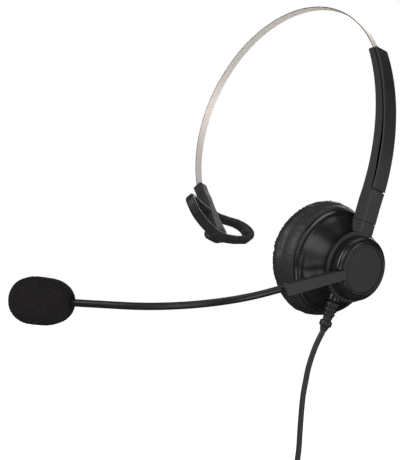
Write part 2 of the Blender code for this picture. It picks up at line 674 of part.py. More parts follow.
def speaker():
    """A moving-coil speaker: basket, magnet and film, clipped in the baffle's wall."""
    start = CUSHION_DEEP + GAP
    r = SPEAKER_R
    basket = [(0.0095, start + 0.0018), (r - 0.0007, start + 0.0018), (r - 0.0007, start),
              (r, start), (r, start + 0.0026), (0.0095, start + 0.0026)]
    add("speaker_basket", turned(basket, segments=40), "ear_cup", "matte_plastic")
    film = [(0, start + 0.0009), (0.0050, start + 0.0007), (0.0070, start + 0.0003),
            (r - 0.0010, start + 0.0004), (r - 0.0010, start + 0.0006), (0.0070, start + 0.0006),
            (0.0050, start + 0.0010), (0, start + 0.0012)]
    add("speaker_film", turned(film, segments=32), "ear_cup", "film")
    magnet = [(0, start + 0.0016), (0.0091, start + 0.0016), (0.0091, start + 0.0042),
              (0.0085, start + 0.0046), (0, start + 0.0046)]
    add("speaker_magnet", turned(magnet, segments=32), "ear_cup", "magnet_steel")
    low = Vector((start + 0.0004, -0.0040, SPEAKER_R + 0.0020))
    add("terminal_board", slab(low, low + Vector((0.0010, 0.0080, 0.0036))), "ear_cup", "board")


def cup_shell():
    """The domed back of the cup, with the ball's seat in its middle and the cord's boss below."""
    start, top, wall = SHELL_START, SHELL_TOP, SHELL_WALL
    lip = SHELL_R
    dome = [(lip - 0.0019, start + 0.0016), (lip - 0.0036, start + 0.0028), (lip - 0.0048, start + 0.0039),
            (lip - 0.0069, start + 0.0060), (lip - 0.0097, start + 0.0084), (lip - 0.0127, start + 0.0106),
            (lip - 0.0153, start + 0.0120), (lip - 0.0173, top), (BALL_R + 0.0030, top)]
    seat = BALL_R + 0.0003
    opening = 0.0031
    mouth = BALL_X + math.sqrt(seat ** 2 - opening ** 2)
    ball = [(seat * math.cos(math.radians(a)), BALL_X + seat * math.sin(math.radians(a)))
            for a in steps(36, 4, 4)]
    inside = [(lip - 0.0145, top - wall - 0.0002), (lip - 0.0117, start + 0.0090),
              (lip - 0.0089, start + 0.0068), (lip - 0.0066, start + 0.0046),
              (lip - 0.0053, start + 0.0026), (lip - 0.0031, start + 0.0014), (lip - 0.0031, start)]
    outline = ([(lip, start), (lip, start + 0.0009)] + dome + [(opening + 0.0008, top), (opening, mouth)]
               + ball + [(seat, BALL_X - 0.0003), (0.0078, BALL_X - 0.0003), (0.0078, top - wall)] + inside)
    made = add("cup_shell", turned(outline, segments=56), "ear_cup", "gloss_plastic")
    at = RELIEF_X * X_AXIS
    boss = turned([(0, -0.0135), (0.0037, -0.0135), (0.0037, -0.0196), (0.0031, -0.0202), (0, -0.0202)],
                  at, Z_AXIS, 24)
    join(made, add("relief_boss", boss, "ear_cup"))
    cut(made, add("relief_bore", drum(0.0021 + GAP, -0.0210, -0.0120, at, Z_AXIS, 20), "ear_cup"))
    retainer = [(0.0030, BALL_X - 0.0040), (0.0078, BALL_X - 0.0040), (0.0078, BALL_X - 0.0006),
                (seat, BALL_X - 0.0006)]
    retainer += [(seat * math.cos(math.radians(a)), BALL_X - seat * math.sin(math.radians(a)))
                 for a in steps(10, 45, 4)]
    add("ball_retainer", turned(retainer, segments=32), "ear_cup", "matte_plastic")
    return made


def cup_screws(shell, plate):
    start = CUSHION_DEEP - BAFFLE_THICK
    bosses, ways = [], []
    sink, way = 0.0017 + FIT, 0.0008 + FIT
    for i in range(3):
        turn = math.radians(120 + 120 * i)
        at = SCREW_CIRCLE * Vector((0, math.cos(turn), math.sin(turn)))
        bosses.append(drum(0.0020, SHELL_START, SHELL_START + 0.0052, at, segments=16))
        stepped = [(0, start - 0.001), (sink, start - 0.001), (sink, start + 0.0008),
                   (way, start + 0.0008), (way, SHELL_START + 0.0044), (0, SHELL_START + 0.0044)]
        ways.append(turned(stepped, at, segments=16))
        screw(f"cup_screw_{i + 1}", at + (start + 0.0007) * X_AXIS, X_AXIS, 0.0017, 0.0008, 0.0008,
              0.0042, "ear_cup")
    join(shell, add("cup_bosses", merged(bosses), "ear_cup"))
    cutter = add("cup_screw_ways", merged(ways), "ear_cup")
    cut(shell, cutter)
    cut(plate, cutter)


def strain_relief():
    """A ribbed rubber sleeve: a root held in the shell, two ribs, a waist, a collar and a taper."""
    top, end = RELIEF_TOP, RELIEF_END
    fat, waist, collar = 0.0035, 0.0024, 0.0032
    outline = [(0, top), (0.0021, top), (0.0021, -0.0205), (fat - 0.0003, -0.0205), (fat, -0.0209),
               (fat, -0.0228), (fat - 0.0006, -0.0231), (fat - 0.0006, -0.0237), (fat, -0.0240),
               (fat - 0.0001, -0.0252), (fat - 0.0008, -0.0255), (fat - 0.0008, -0.0261),
               (fat - 0.0003, -0.0264), (fat - 0.0006, -0.0276), (waist, -0.0284), (waist, -0.0304),
               (collar, -0.0306), (collar, -0.0333), (waist + 0.0002, -0.0335),
               (CORD_R + 0.0002, end), (0, end)]
    add("strain_relief", turned(outline, RELIEF_X * X_AXIS, Z_AXIS, 24), "ear_cup", "cord_rubber")


# ---- boom ----

def hub():
    back, face, r = HUB_BACK, HUB_FACE, HUB_R
    hole = BEARING_R + GAP
    lip = CAP_R + GAP
    shoulder = [(lip + (r - lip) * math.cos(math.radians(a)),
                 face - 0.0027 + 0.0024 * math.sin(math.radians(a))) for a in steps(0, 80, 5)]
    outline = ([(hole, back), (r - 0.0005, back), (r, back + 0.0005)] + shoulder
               + [(lip, face - 0.0003), (lip, back + HUB_WALL), (hole, back + HUB_WALL)])
    shell = add("hub_shell", turned(outline, segments=56), "boom", "gloss_plastic")
    # The bar leaves through a notch in the hub's side.
    notch = prism(bar_outline(GAP), (face - BAR_THICK - GAP) * X_AXIS, BOOM_OUT, BOOM_SIDE, 0.010)
    cut(shell, add("bar_notch", notch, "boom"))


def bar_outline(grow, start=0.0):
    """The boom bar seen from outside, as (along, across) points."""
    root, tip, end = BAR_ROOT / 2 + grow, BAR_TIP / 2 + grow, BOOM_LENGTH + grow
    return [(start, -root), (end - 0.0012, -tip), (end, -tip + 0.0020), (end, tip - 0.0008),
            (end - 0.0008, tip), (start, root)]


def boom_arm():
    face = HUB_FACE
    bar = add("boom_arm", prism(bar_outline(0), (face - BAR_THICK) * X_AXIS, BOOM_OUT, BOOM_SIDE,
                                BAR_THICK), "boom", "satin_plastic")
    back = face - 0.0030
    r = CAP_R
    disc = turned([(0, back), (r, back), (r, face - 0.0004), (r - 0.0004, face), (0, face)], segments=56)
    join(bar, add("disc_shape", disc, "boom"))
    inlay = r - 0.0009
    recess = drum(inlay, face - 0.0009, face + 0.001, segments=48)
    clear = drum(0.0047, back - 0.002, face - 0.0012 - 0.0002, segments=24)
    wire = drum(NECK_R + FIT, -0.0050, 0.002, neck_point(0)[0], BOOM_OUT, 16)
    cut(bar, add("cap_recess", recess, "boom"), add("nut_recess", clear, "boom"),
        add("neck_socket", wire, "boom"))
    cap = [(0, face - 0.0006), (inlay - GAP, face - 0.0006), (inlay - GAP, face - 0.0002),
           (inlay - GAP - 0.0002, face), (0, face)]
    add("hub_cap", turned(cap, segments=48), "boom", "satin_plastic")


def neck_piece(name, start, end, body):
    """A length of the gooseneck with a round end wherever it meets the next length."""
    rings = []
    sides = 12
    count = max(6, round((end - start) / 0.004))
    stations = [(start + NECK_R * (1 - math.cos(math.radians(a))), math.sin(math.radians(a)))
                for a in (12, 40, 65)]
    stations += [(s, 1.0) for s in steps(start + NECK_R, end - NECK_R, count)]
    stations += [(end - NECK_R * (1 - math.cos(math.radians(a))), math.sin(math.radians(a)))
                 for a in (65, 40, 12)]
    for along, share in stations:
        at, heading = neck_point(along)
        side = heading.cross(BOOM_SIDE)
        rings.append([at + NECK_R * share * (math.cos(math.tau * i / sides) * BOOM_SIDE
                                             + math.sin(math.tau * i / sides) * side)
                      for i in range(sides)])
    add(name, lofted(rings), body, "matte_plastic")


def microphone():
    end, heading = neck_point(NECK_LENGTH)
    middle = end + (FOAM_LENGTH / 2 - 0.0015) * heading
    half = FOAM_LENGTH / 2
    r = MIC_R
    holder = [(NECK_R + GAP, -0.0085), (r - 0.0006, -0.0085), (r, -0.0075), (r, MIC_LENGTH - 0.0085),
              (r - 0.0009, MIC_LENGTH - 0.0085), (r - 0.0009, MIC_LENGTH - 0.0120),
              (NECK_R + GAP, MIC_LENGTH - 0.0120)]
    add("mic_holder", turned(holder, middle, heading, 24), "microphone", "matte_plastic")
    capsule = [(0, MIC_LENGTH - 0.0117), (r - 0.0012, MIC_LENGTH - 0.0117),
               (r - 0.0012, MIC_LENGTH - 0.0092), (0, MIC_LENGTH - 0.0092)]
    add("mic_capsule", turned(capsule, middle, heading, 20), "microphone", "bright_steel")
    outer = [(FOAM_R * math.sin(math.radians(a)) * (1 + 0.05 * math.cos(math.radians(a))),
              -half * math.cos(math.radians(a))) for a in steps(16, 180, 14)]
    mouth = NECK_R + 0.0004
    cavity = [(0, MIC_LENGTH - 0.0081), (r + GAP, MIC_LENGTH - 0.0081), (r + GAP, -0.0089),
              (mouth, -0.0089), (mouth, outer[0][1])]
    outer[-1] = (0, half)
    add("mic_foam", turned(outer + cavity, middle, heading, 32), "microphone", "foam")


# ---- cord ----

CORD_POINTS = (             # the middle of the cord, in the ear's frame, from the relief downwards
    (0.0240, 0.0000, -0.0365), (0.0238, -0.0005, -0.0400), (0.0234, -0.0008, -0.0450),
    (0.0233, -0.0008, -0.0510), (0.0235, -0.0006, -0.0570), (0.0240, 0.0001, -0.0630),
    (0.0247, 0.0009, -0.0700), (0.0257, 0.0020, -0.0765), (0.0269, 0.0032, -0.0830),
    (0.0282, 0.0046, -0.0900), (0.0294, 0.0060, -0.0965), (0.0301, 0.0073, -0.1030),
    (0.0302, 0.0082, -0.1080), (0.0302, 0.0085, -0.1127),
)
TAIL_LENGTH = 0.0100
HANK_LOW = HANK_TOP - HANK_HIGH


def tube(name, points, radius, body, slot):
    """A cord: a curve with a round section, on points taken from a smooth run through the given ones."""
    fine = []
    last = len(points) - 1
    for i in range(last):
        a, b, c, d = (Vector(points[min(max(k, 0), last)]) for k in (i - 1, i, i + 1, i + 2))
        for t in (0, 0.5):
            fine.append(0.5 * (2 * b + (c - a) * t + (2 * a - 5 * b + 4 * c - d) * t * t
                               + (3 * b - a - 3 * c + d) * t ** 3))
    fine.append(Vector(points[-1]))
    curve = bpy.data.curves.new(name, "CURVE")
    curve.dimensions = "3D"
    spline = curve.splines.new("POLY")
    spline.points.add(len(fine) - 1)
    for point, at in zip(spline.points, fine):
        point.co = (*at, 1)
    curve.bevel_depth = radius
    curve.bevel_resolution = 2
    curve.use_fill_caps = True
    curve.materials.append(material(slot))
    obj = bpy.data.objects.new(name, curve)
    bpy.context.scene.collection.objects.link(obj)
    obj.parent = EMPTIES[body]
    obj.location = -ORIGINS[body]


def cord():
    tube("cord", CORD_POINTS, CORD_R, "ear_cup", "cord_rubber")
    middle = Vector((HANK_X, HANK_Y, (HANK_TOP + HANK_LOW) / 2))
    outline = []
    half = HANK_WIDE / 2
    for centre, start in ((HANK_HIGH / 2 - half, 0), (half - HANK_HIGH / 2, 180)):
        outline += [(half * math.cos(math.radians(a)), centre + half * math.sin(math.radians(a)))
                    for a in steps(start, start + 180, 10)]
    add("cord_hank", prism(outline, middle - HANK_DEEP / 2 * X_AXIS, Y_AXIS, Z_AXIS, HANK_DEEP),
        "ear_cup", "cord_rubber")
    wide, deep = HANK_WIDE + 2 * GAP, HANK_DEEP + 2 * GAP
    low = middle - TIE_HIGH / 2 * Z_AXIS
    band = prism(round_rectangle(deep + 2 * TIE_WALL, wide + 2 * TIE_WALL, 0.002), low, X_AXIS, Y_AXIS,
                 TIE_HIGH)
    tie = add("hank_tie", band, "ear_cup", "cord_rubber")
    inside = prism(round_rectangle(deep, wide, 0.0002, 1), low - 0.002 * Z_AXIS, X_AXIS, Y_AXIS,
                   TIE_HIGH + 0.004)
    cut(tie, add("tie_inside", inside, "ear_cup"))
    at = Vector((HANK_X - 2 * LAYER, HANK_Y, 0))
    tail = [at + z * Z_AXIS for z in steps(HANK_LOW - GAP, HANK_LOW - TAIL_LENGTH, 4)]
    tube("cord_tail", tail, CORD_R, "ear_cup", "cord_rubber")


def usb_plug():
    """A moulded plug with its own relief, a steel shell round a tongue, and four contacts."""
    top = HANK_LOW - TAIL_LENGTH - GAP
    at = Vector((HANK_X - 2 * LAYER, HANK_Y, top))
    down = -Z_AXIS
    relief = [(0, 0), (CORD_R + 0.0004, 0), (0.0026, 0.0075), (0, 0.0075)]
    add("plug_relief", turned(relief, at, down, 20), "ear_cup", "cord_rubber")
    grip = at + (0.0075 + GAP) * down
    outline = round_rectangle(PLUG_THICK, PLUG_WIDE, 0.0018, 3)
    rings = []
    for along, share in ((0, 0.80), (0.0012, 0.92), (0.0040, 1), (PLUG_LONG - 0.0008, 1), (PLUG_LONG, 0.95)):
        rings.append([grip + along * down + share * (a * X_AXIS + b * Y_AXIS) for a, b in outline])
    add("plug_grip", lofted(rings), "ear_cup", "cord_rubber")
    nose = grip + (PLUG_LONG + GAP) * down
    shell = add("plug_shell", prism(round_rectangle(USB_WIDE, USB_HIGH, 0.0005, 2), nose, Y_AXIS, X_AXIS,
                                    USB_LONG), "ear_cup", "bright_steel")
    hollow = prism(round_rectangle(USB_WIDE - 2 * USB_WALL, USB_HIGH - 2 * USB_WALL, 0.0003, 2),
                   nose + 0.0006 * down, Y_AXIS, X_AXIS, USB_LONG)
    cut(shell, add("plug_hollow", hollow, "ear_cup"))
    wide = USB_WIDE - 2 * USB_WALL - 2 * GAP
    base = USB_HIGH / 2 - USB_WALL - GAP
    low = nose + Vector((base - 0.0018, -wide / 2, -USB_LONG + 0.0010))
    high = nose + Vector((base, wide / 2, -0.0009))
    add("plug_tongue", slab(low, high), "ear_cup", "matte_plastic")
    for i in range(4):
        y = nose.y + (i - 1.5) * 0.0025
        pin = slab((low.x - GAP - 0.0002, y - 0.0005, low.z + (0.0012 if i in (1, 2) else 0.0004)),
                   (low.x - GAP, y + 0.0005, high.z - 0.0010))
        add(f"plug_contact_{i + 1}", pin, "ear_cup", "contact_gold")


headband()
temple_rest()
arm_cover(arm_shell())
friction_spring()
swivel_pin()
yoke()
ball_stud()
ear_cushion()
speaker()
cup_screws(cup_shell(), baffle())
strain_relief()
hub()
boom_arm()
neck_piece("gooseneck_root", 0.0005, FLEX_1 - GAP / 2, "boom")
neck_piece("gooseneck_middle", FLEX_1 + GAP / 2, FLEX_2 - GAP / 2, "neck_middle")
neck_piece("gooseneck_tip", FLEX_2 + GAP / 2, NECK_LENGTH + 0.0105, "microphone")
microphone()
cord()
usb_plug()
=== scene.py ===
# %% [markdown]
# # An office headset
# A single-ear headset for a desk telephone or a computer: a sprung steel band with a soft temple rest,
# a sliding arm, a padded ear cup, a boom with a gooseneck microphone, and a corded lead.
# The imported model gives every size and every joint. Here its visible pieces get their final shape
# and their finish. Lengths in this file are millimetres in the ear's own frame, turned to metres
# by one helper.

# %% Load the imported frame
import json
import math

import bmesh
import bpy
from mathutils import Matrix, Vector, noise

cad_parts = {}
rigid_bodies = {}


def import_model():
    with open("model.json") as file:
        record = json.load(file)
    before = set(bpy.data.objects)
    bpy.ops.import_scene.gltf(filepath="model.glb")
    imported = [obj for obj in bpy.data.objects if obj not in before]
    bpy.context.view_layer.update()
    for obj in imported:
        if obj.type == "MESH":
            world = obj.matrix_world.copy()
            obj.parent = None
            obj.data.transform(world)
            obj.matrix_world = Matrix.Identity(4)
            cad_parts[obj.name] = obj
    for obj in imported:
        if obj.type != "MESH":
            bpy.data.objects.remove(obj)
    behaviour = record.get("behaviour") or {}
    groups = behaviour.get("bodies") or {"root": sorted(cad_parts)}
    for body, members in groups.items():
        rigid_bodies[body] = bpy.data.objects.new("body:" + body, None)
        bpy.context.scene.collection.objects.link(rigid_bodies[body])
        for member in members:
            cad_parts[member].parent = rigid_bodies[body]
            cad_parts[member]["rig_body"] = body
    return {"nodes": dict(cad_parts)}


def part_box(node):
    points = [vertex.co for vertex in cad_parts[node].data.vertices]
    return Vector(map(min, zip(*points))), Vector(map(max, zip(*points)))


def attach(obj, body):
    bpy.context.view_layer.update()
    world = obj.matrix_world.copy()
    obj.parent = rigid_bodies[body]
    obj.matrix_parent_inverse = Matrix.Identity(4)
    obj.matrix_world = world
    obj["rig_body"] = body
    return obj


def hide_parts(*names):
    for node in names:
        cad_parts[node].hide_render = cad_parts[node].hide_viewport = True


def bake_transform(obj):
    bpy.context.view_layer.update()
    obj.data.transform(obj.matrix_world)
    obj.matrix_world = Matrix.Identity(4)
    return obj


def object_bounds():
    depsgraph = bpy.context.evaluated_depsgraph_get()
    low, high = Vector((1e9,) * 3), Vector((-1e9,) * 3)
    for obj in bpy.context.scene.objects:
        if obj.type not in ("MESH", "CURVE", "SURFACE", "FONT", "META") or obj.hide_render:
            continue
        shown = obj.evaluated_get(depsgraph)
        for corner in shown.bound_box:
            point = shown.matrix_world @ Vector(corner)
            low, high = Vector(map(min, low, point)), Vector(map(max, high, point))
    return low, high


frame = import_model()
nodes = frame["nodes"]
cad_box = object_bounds()
print("packed model:", [[round(v, 4) for v in corner] for corner in cad_box])

# %% [markdown]
# ## One origin for all measures
# The middle of the cushion's face is where a maker would measure the ear cup from, so every point
# below is given from there: x out of the cup, y backwards, z up.

# %% The ear's frame
MM = 0.001
cushion_low, cushion_high = (Vector(corner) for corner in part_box("ear_cushion"))
EAR = Vector((cushion_low.x, (cushion_low.y + cushion_high.y) / 2, (cushion_low.z + cushion_high.z) / 2))
X_AXIS, Y_AXIS, Z_AXIS = Vector((1, 0, 0)), Vector((0, 1, 0)), Vector((0, 0, 1))


def ear(x, y, z):
    """A point in metres in the row frame, from millimetres in the ear's frame."""
    return EAR + MM * Vector((x, y, z))


def polar(centre, radius, degrees):
    """A point of the headband's plane, by its angle from +x about a centre."""
    angle = math.radians(degrees)
    return centre + radius * Vector((math.cos(angle), 0, math.sin(angle)))


print("ear's origin:", [round(v, 4) for v in EAR])

# %% [markdown]
# ## The headband's two arcs
# The strip follows the head in one arc, and goes on in a flatter arc along which the arm slides. The
# two arcs meet in line, so their centres and the meeting point lie on one line.

# %% The headband's two arcs
BAND_R, SLIDE_R = 70.3, 117.2
BAND_WIDTH, BAND_THICK = 4.5, 0.6
BAND_JOIN, BAND_TAIL, STEM_START = 40, 16.5, 219      # degrees round the arcs
SLIDE_CENTRE = Vector((-92.927, 0, 34.453))
BAND_CENTRE = polar(SLIDE_CENTRE, SLIDE_R - BAND_R, BAND_JOIN)
STRIP_SEAT = 3.681                   # the length of strip inside the temple rest's stem
BAND_TEMPLE = STEM_START + math.degrees(STRIP_SEAT / BAND_R)
print(f"headband: {2 * BAND_R:.1f} mm across, strip {BAND_WIDTH} x {BAND_THICK} mm")

# %% [markdown]
# ## Camera
# A product camera looks from the front quarter on the cup's side, a little from below, and it is
# rolled, so that the headset seems to lean back. A long lens keeps the shapes true.

# %% Camera
AZIMUTH, ELEVATION, ROLL = 50.84, -2.71, 19.53
DISTANCE = 0.9
LENS = 133.5
AIM_RIGHT, AIM_UP = -60.9, 13.8      # the picture's middle, from the ear's origin


def product_camera():
    turn, lift, roll = (math.radians(a) for a in (AZIMUTH, ELEVATION, ROLL))
    towards = Vector((math.sin(turn) * math.cos(lift), -math.cos(turn) * math.cos(lift), math.sin(lift)))
    level = Vector((math.cos(turn), math.sin(turn), 0))
    above = towards.cross(level)
    right = math.cos(roll) * level + math.sin(roll) * above
    up = math.cos(roll) * above - math.sin(roll) * level
    data = bpy.data.cameras.new("camera")
    data.lens = LENS
    data.clip_start = 0.05
    camera = bpy.data.objects.new("camera", data)
    place = EAR + DISTANCE * towards + MM * (AIM_RIGHT * right + AIM_UP * up)
    turned = Matrix((right, up, towards)).transposed().to_4x4()
    camera.matrix_world = Matrix.Translation(place) @ turned
    bpy.context.scene.collection.objects.link(camera)
    bpy.context.scene.camera = camera


product_camera()

# %% [markdown]
# ## Materials as arithmetic
# A shader is a small sum: some noise, scaled, added to a roughness. Wrapping each socket in a
# class with operators lets the sum be written as one line, and the class adds the Math nodes.


# %% Sockets that can be added and multiplied
class Value:
    """One output socket, or the result of arithmetic on it."""

    def __init__(self, finish, socket):
        self.finish = finish
        self.socket = socket

    def maths(self, operation, first, second):
        return self.finish.add("ShaderNodeMath", {"operation": operation}, {0: first, 1: second})

    def __add__(self, other):
        return self.maths("ADD", self, other)

    def __radd__(self, other):
        return self.maths("ADD", other, self)

    def __mul__(self, other):
        return self.maths("MULTIPLY", self, other)

    def __rmul__(self, other):
        return self.maths("MULTIPLY", other, self)


class Finish:
    """A material with a Principled shader, built up by name."""

    def __init__(self, name, **uniform):
        self.material = bpy.data.materials.new(name)
        self.material.use_nodes = True
        self.tree = self.material.node_tree
        self.shader = self.tree.nodes["Principled BSDF"]
        self.place = self.add("ShaderNodeTexCoord", output="Object")
        for socket, value in uniform.items():
            self.set(socket.replace("_", " "), value)

    def add(self, kind, settings=None, inputs=None, output=0):
        node = self.tree.nodes.new(kind)
        for name, value in (settings or {}).items():
            setattr(node, name, value)
        for name, value in (inputs or {}).items():
            self.feed(node.inputs[name], value)
        return Value(self, node.outputs[output])

    def feed(self, socket, value):
        if isinstance(value, Value):
            self.tree.links.new(value.socket, socket)
        else:
            socket.default_value = value

    def set(self, name, value):
        self.feed(self.shader.inputs[name], value)

    def stretched(self, scale):
        """Object coordinates, scaled along each axis."""
        return self.add("ShaderNodeMapping", {}, {"Vector": self.place, "Scale": scale})

    def noise(self, scale, detail=2.0, place=None):
        return self.add("ShaderNodeTexNoise", {}, {"Vector": place or self.place, "Scale": scale,
                                                   "Detail": detail}, "Fac")

    def cells(self, scale, feature="F1"):
        return self.add("ShaderNodeTexVoronoi", {"feature": feature},
                        {"Vector": self.place, "Scale": scale}, "Distance")

    def between(self, low, high, share):
        """A colour from low to high."""
        mix = self.tree.nodes.new("ShaderNodeMix")
        mix.data_type = "RGBA"
        self.feed(mix.inputs["Factor"], share)
        self.feed(mix.inputs[6], (*low, 1))
        self.feed(mix.inputs[7], (*high, 1))
        return Value(self, mix.outputs[2])

    def bump(self, height, depth):
        """Height from 0 to 1 stands for a depth in metres."""
        self.set("Normal", self.add("ShaderNodeBump", {}, {"Height": height, "Distance": depth,
                                                           "Strength": 1.0}, "Normal"))


# %% [markdown]
# ## Moulded plastics
# The arm, the yoke and the boom are moulded in a tool with a fine spark-eroded texture, which
# scatters the light: satin dark grey. The cup's bell and the hub come from a polished tool, so they
# are nearly black and mirror the studio, with the faint waves and fingerprints of a handled piece.


# %% Satin and gloss plastic
def moulded(name, colour, roughness, grain=2600, depth=0.000010, lift=0.35):
    """Textured plastic: fine pits in the surface, and slow changes of shade where it is handled."""
    finish = Finish(name, IOR=1.5, Specular_IOR_Level=0.42)
    slow = finish.noise(70, 3)
    fine = finish.noise(grain, 2)
    low = tuple(c * (1 - lift / 2) for c in colour)
    high = tuple(c * (1 + lift / 2) for c in colour)
    finish.set("Base Color", finish.between(low, high, slow))
    finish.set("Roughness", roughness - 0.05 + 0.08 * slow + 0.03 * fine)
    finish.bump(fine, depth)
    return finish.material


def polished(name, colour, roughness):
    finish = Finish(name, IOR=1.5)
    smear = finish.noise(90, 4)
    wave = finish.noise(160, 1)
    finish.set("Base Color", finish.between(colour, tuple(2.2 * c for c in colour), smear * smear))
    finish.set("Roughness", roughness - 0.03 + 0.10 * (smear * smear))
    finish.bump(wave, 0.00002)
    return finish.material


satin_plastic = moulded("satin_plastic", (0.0140, 0.0124, 0.0140), 0.42)
cap_plastic = moulded("cap_plastic", (0.0090, 0.0078, 0.0091), 0.46, 3200)
gloss_plastic = polished("gloss_plastic", (0.0050, 0.0044, 0.0052), 0.28)
matte_plastic = moulded("matte_plastic", (0.0080, 0.0070, 0.0070), 0.32)

# %% [markdown]
# ## Steel
# The band is rolled spring steel with a fine lengthwise grain and a slightly warm tint. Grain is
# noise stretched along the strip: it changes quickly across the strip's width and slowly along it.


# %% Brushed and plain steel
GRAIN_ACROSS, GRAIN_ALONG = 2500, 60


def brushed(name, colour, roughness, metallic=0.55):
    finish = Finish(name, Metallic=metallic)
    place = finish.stretched((GRAIN_ALONG, GRAIN_ACROSS, GRAIN_ALONG))
    lines = finish.noise(1.0, 3, place)
    tint = finish.noise(45, 2)
    dark = tuple(c * 0.86 for c in colour)
    finish.set("Base Color", finish.between(dark, colour, 0.6 * lines + 0.4 * tint))
    finish.set("Roughness", roughness - 0.06 + 0.12 * lines)
    finish.bump(lines, 0.000004)
    return finish.material


def plated(name, colour, roughness):
    finish = Finish(name, Metallic=1.0)
    mottle = finish.noise(900, 3)
    finish.set("Base Color", finish.between(tuple(c * 0.8 for c in colour), colour, mottle))
    finish.set("Roughness", roughness + 0.10 * mottle)
    finish.bump(mottle, 0.000006)
    return finish.material


band_steel = brushed("band_steel", (0.74, 0.68, 0.63), 0.40)
sheared_steel = brushed("sheared_steel", (0.12, 0.11, 0.105), 0.50, metallic=0.8)
bright_steel = plated("bright_steel", (0.62, 0.62, 0.62), 0.22)
magnet_steel = plated("magnet_steel", (0.30, 0.30, 0.31), 0.38)
contact_gold = plated("contact_gold", (0.80, 0.58, 0.25), 0.20)

# %% [markdown]
# ## Soft finishes
# The cushion's leatherette has a pebbled grain of small cells with creases between them, and its
# colour is darker where the creases sink: painted shade. The microphone's foam is open-celled: it
# has almost no shine, and its pores are darker than their walls: painted shade in the hollows.
# Rubber is a plain dark colour with a bloom that dulls it in patches.


# %% Leatherette, foam, rubber, cloth, film and circuit board
def leather(name):
    finish = Finish(name, IOR=1.5, Specular_IOR_Level=0.40)
    wobble = finish.noise(500, 2)
    grain = finish.cells(1700, feature="SMOOTH_F1")
    creases = finish.noise(260, 5)
    # Painted shade: the colour is darker where the crease relief is low, from the same noise as the bump.
    finish.set("Base Color", finish.between((0.0060, 0.0050, 0.0052), (0.0210, 0.0172, 0.0176), creases))
    finish.set("Roughness", 0.36 + 0.16 * wobble + 0.10 * grain)
    finish.bump(grain + 1.6 * creases, 0.00005)
    return finish.material


def open_cell_foam(name):
    finish = Finish(name, IOR=1.4, Specular_IOR_Level=0.12)
    pores_and_shade = finish.cells(1500)
    tufts = finish.noise(2400, 3)
    share = pores_and_shade * 1.3 + 0.35 * tufts
    # Painted shade: the colour is darker in the pores and low tufts, where the bump is low.
    finish.set("Base Color", finish.between((0.0012, 0.0010, 0.0011), (0.0092, 0.0078, 0.0083), share))
    finish.set("Roughness", 0.86 + 0.12 * tufts)
    finish.bump(pores_and_shade + 0.6 * tufts, 0.00035)
    return finish.material


def rubber(name, colour, roughness):
    finish = Finish(name, IOR=1.45, Specular_IOR_Level=0.35)
    bloom = finish.noise(240, 4)
    fine = finish.noise(5200, 2)
    finish.set("Base Color", finish.between(colour, tuple(1.7 * c for c in colour), bloom))
    finish.set("Roughness", roughness - 0.06 + 0.14 * bloom)
    finish.bump(fine, 0.000012)
    return finish.material


THREADS = 3600      # waves of thread per metre, times a full turn


def woven(name, colour):
    """A fine cloth: two sets of yarn at right angles, each seen where it passes over the other, and its
    colour darker where the weave sinks between them: painted shade.
    """
    finish = Finish(name)
    warp = finish.add("ShaderNodeTexWave", {"bands_direction": "Y"},
                      {"Vector": finish.place, "Scale": THREADS / math.tau}, "Fac")
    weft = finish.add("ShaderNodeTexWave", {"bands_direction": "Z"},
                      {"Vector": finish.place, "Scale": THREADS / math.tau}, "Fac")
    threads_and_shade = warp * weft
    # Painted shade: the colour is darker where the weave sinks between the threads.
    finish.set("Base Color", finish.between(tuple(0.3 * c for c in colour), colour, threads_and_shade))
    finish.set("Roughness", 0.80 + 0.15 * threads_and_shade)
    finish.bump(threads_and_shade, 0.00008)
    return finish.material


def printed_board(name):
    finish = Finish(name)
    tracks = finish.cells(900)
    finish.set("Base Color", finish.between((0.012, 0.09, 0.03), (0.03, 0.16, 0.07), tracks))
    finish.set("Roughness", 0.35 + 0.2 * tracks)
    finish.bump(tracks, 0.00002)
    return finish.material


leatherette = leather("leatherette")
foam = open_cell_foam("foam")
cord_rubber = rubber("cord_rubber", (0.0095, 0.0092, 0.0095), 0.42)
sleeve_rubber = rubber("sleeve_rubber", (0.0080, 0.0078, 0.0080), 0.42)
temple_rubber = rubber("temple_rubber", (0.0105, 0.0098, 0.0100), 0.45)
screen_cloth = woven("cloth", (0.028, 0.028, 0.028))
speaker_plastic = moulded("film", (0.42, 0.39, 0.33), 0.28, 1200)
board = printed_board("board")

# %% [markdown]
# ## From a bmesh to a finished piece
# Each piece is modelled in place, becomes an object at the origin, is shaded smooth except across
# its real edges, and then rides on the body that it belongs to.


# %% Making a piece
def make(name, bm, material, body=None, stands_for=(), sharp=35, weld=1e-6):
    bmesh.ops.remove_doubles(bm, verts=bm.verts, dist=weld)
    bmesh.ops.recalc_face_normals(bm, faces=bm.faces)
    mesh = bpy.data.meshes.new(name)
    bm.to_mesh(mesh)
    bm.free()
    mesh.materials.append(material)
    mesh.shade_smooth()
    mesh.set_sharp_from_angle(angle=math.radians(sharp))
    piece = bpy.data.objects.new(name, mesh)
    bpy.context.scene.collection.objects.link(piece)
    if body:
        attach(piece, body)
        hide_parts(*stands_for)
    return piece


def round_edges(piece, width, segments=2, angle=30):
    """A small radius on every real edge, as a mould leaves."""
    bevel = piece.modifiers.new("edges", "BEVEL")
    bevel.width = width
    bevel.segments = segments
    bevel.limit_method = "ANGLE"
    bevel.angle_limit = math.radians(angle)
    bevel.harden_normals = True
    return piece


def applied(piece):
    """The mesh of a piece with its modifiers worked in."""
    bpy.context.view_layer.update()
    mesh = bpy.data.meshes.new_from_object(piece.evaluated_get(bpy.context.evaluated_depsgraph_get()))
    piece.modifiers.clear()
    piece.data = mesh
    return piece


def boolean(piece, other, operation):
    """Cuts or joins another mesh, and removes it."""
    step = piece.modifiers.new(other.name, "BOOLEAN")
    step.object = other
    step.operation = operation
    applied(piece)
    bpy.data.objects.remove(other)
    return piece


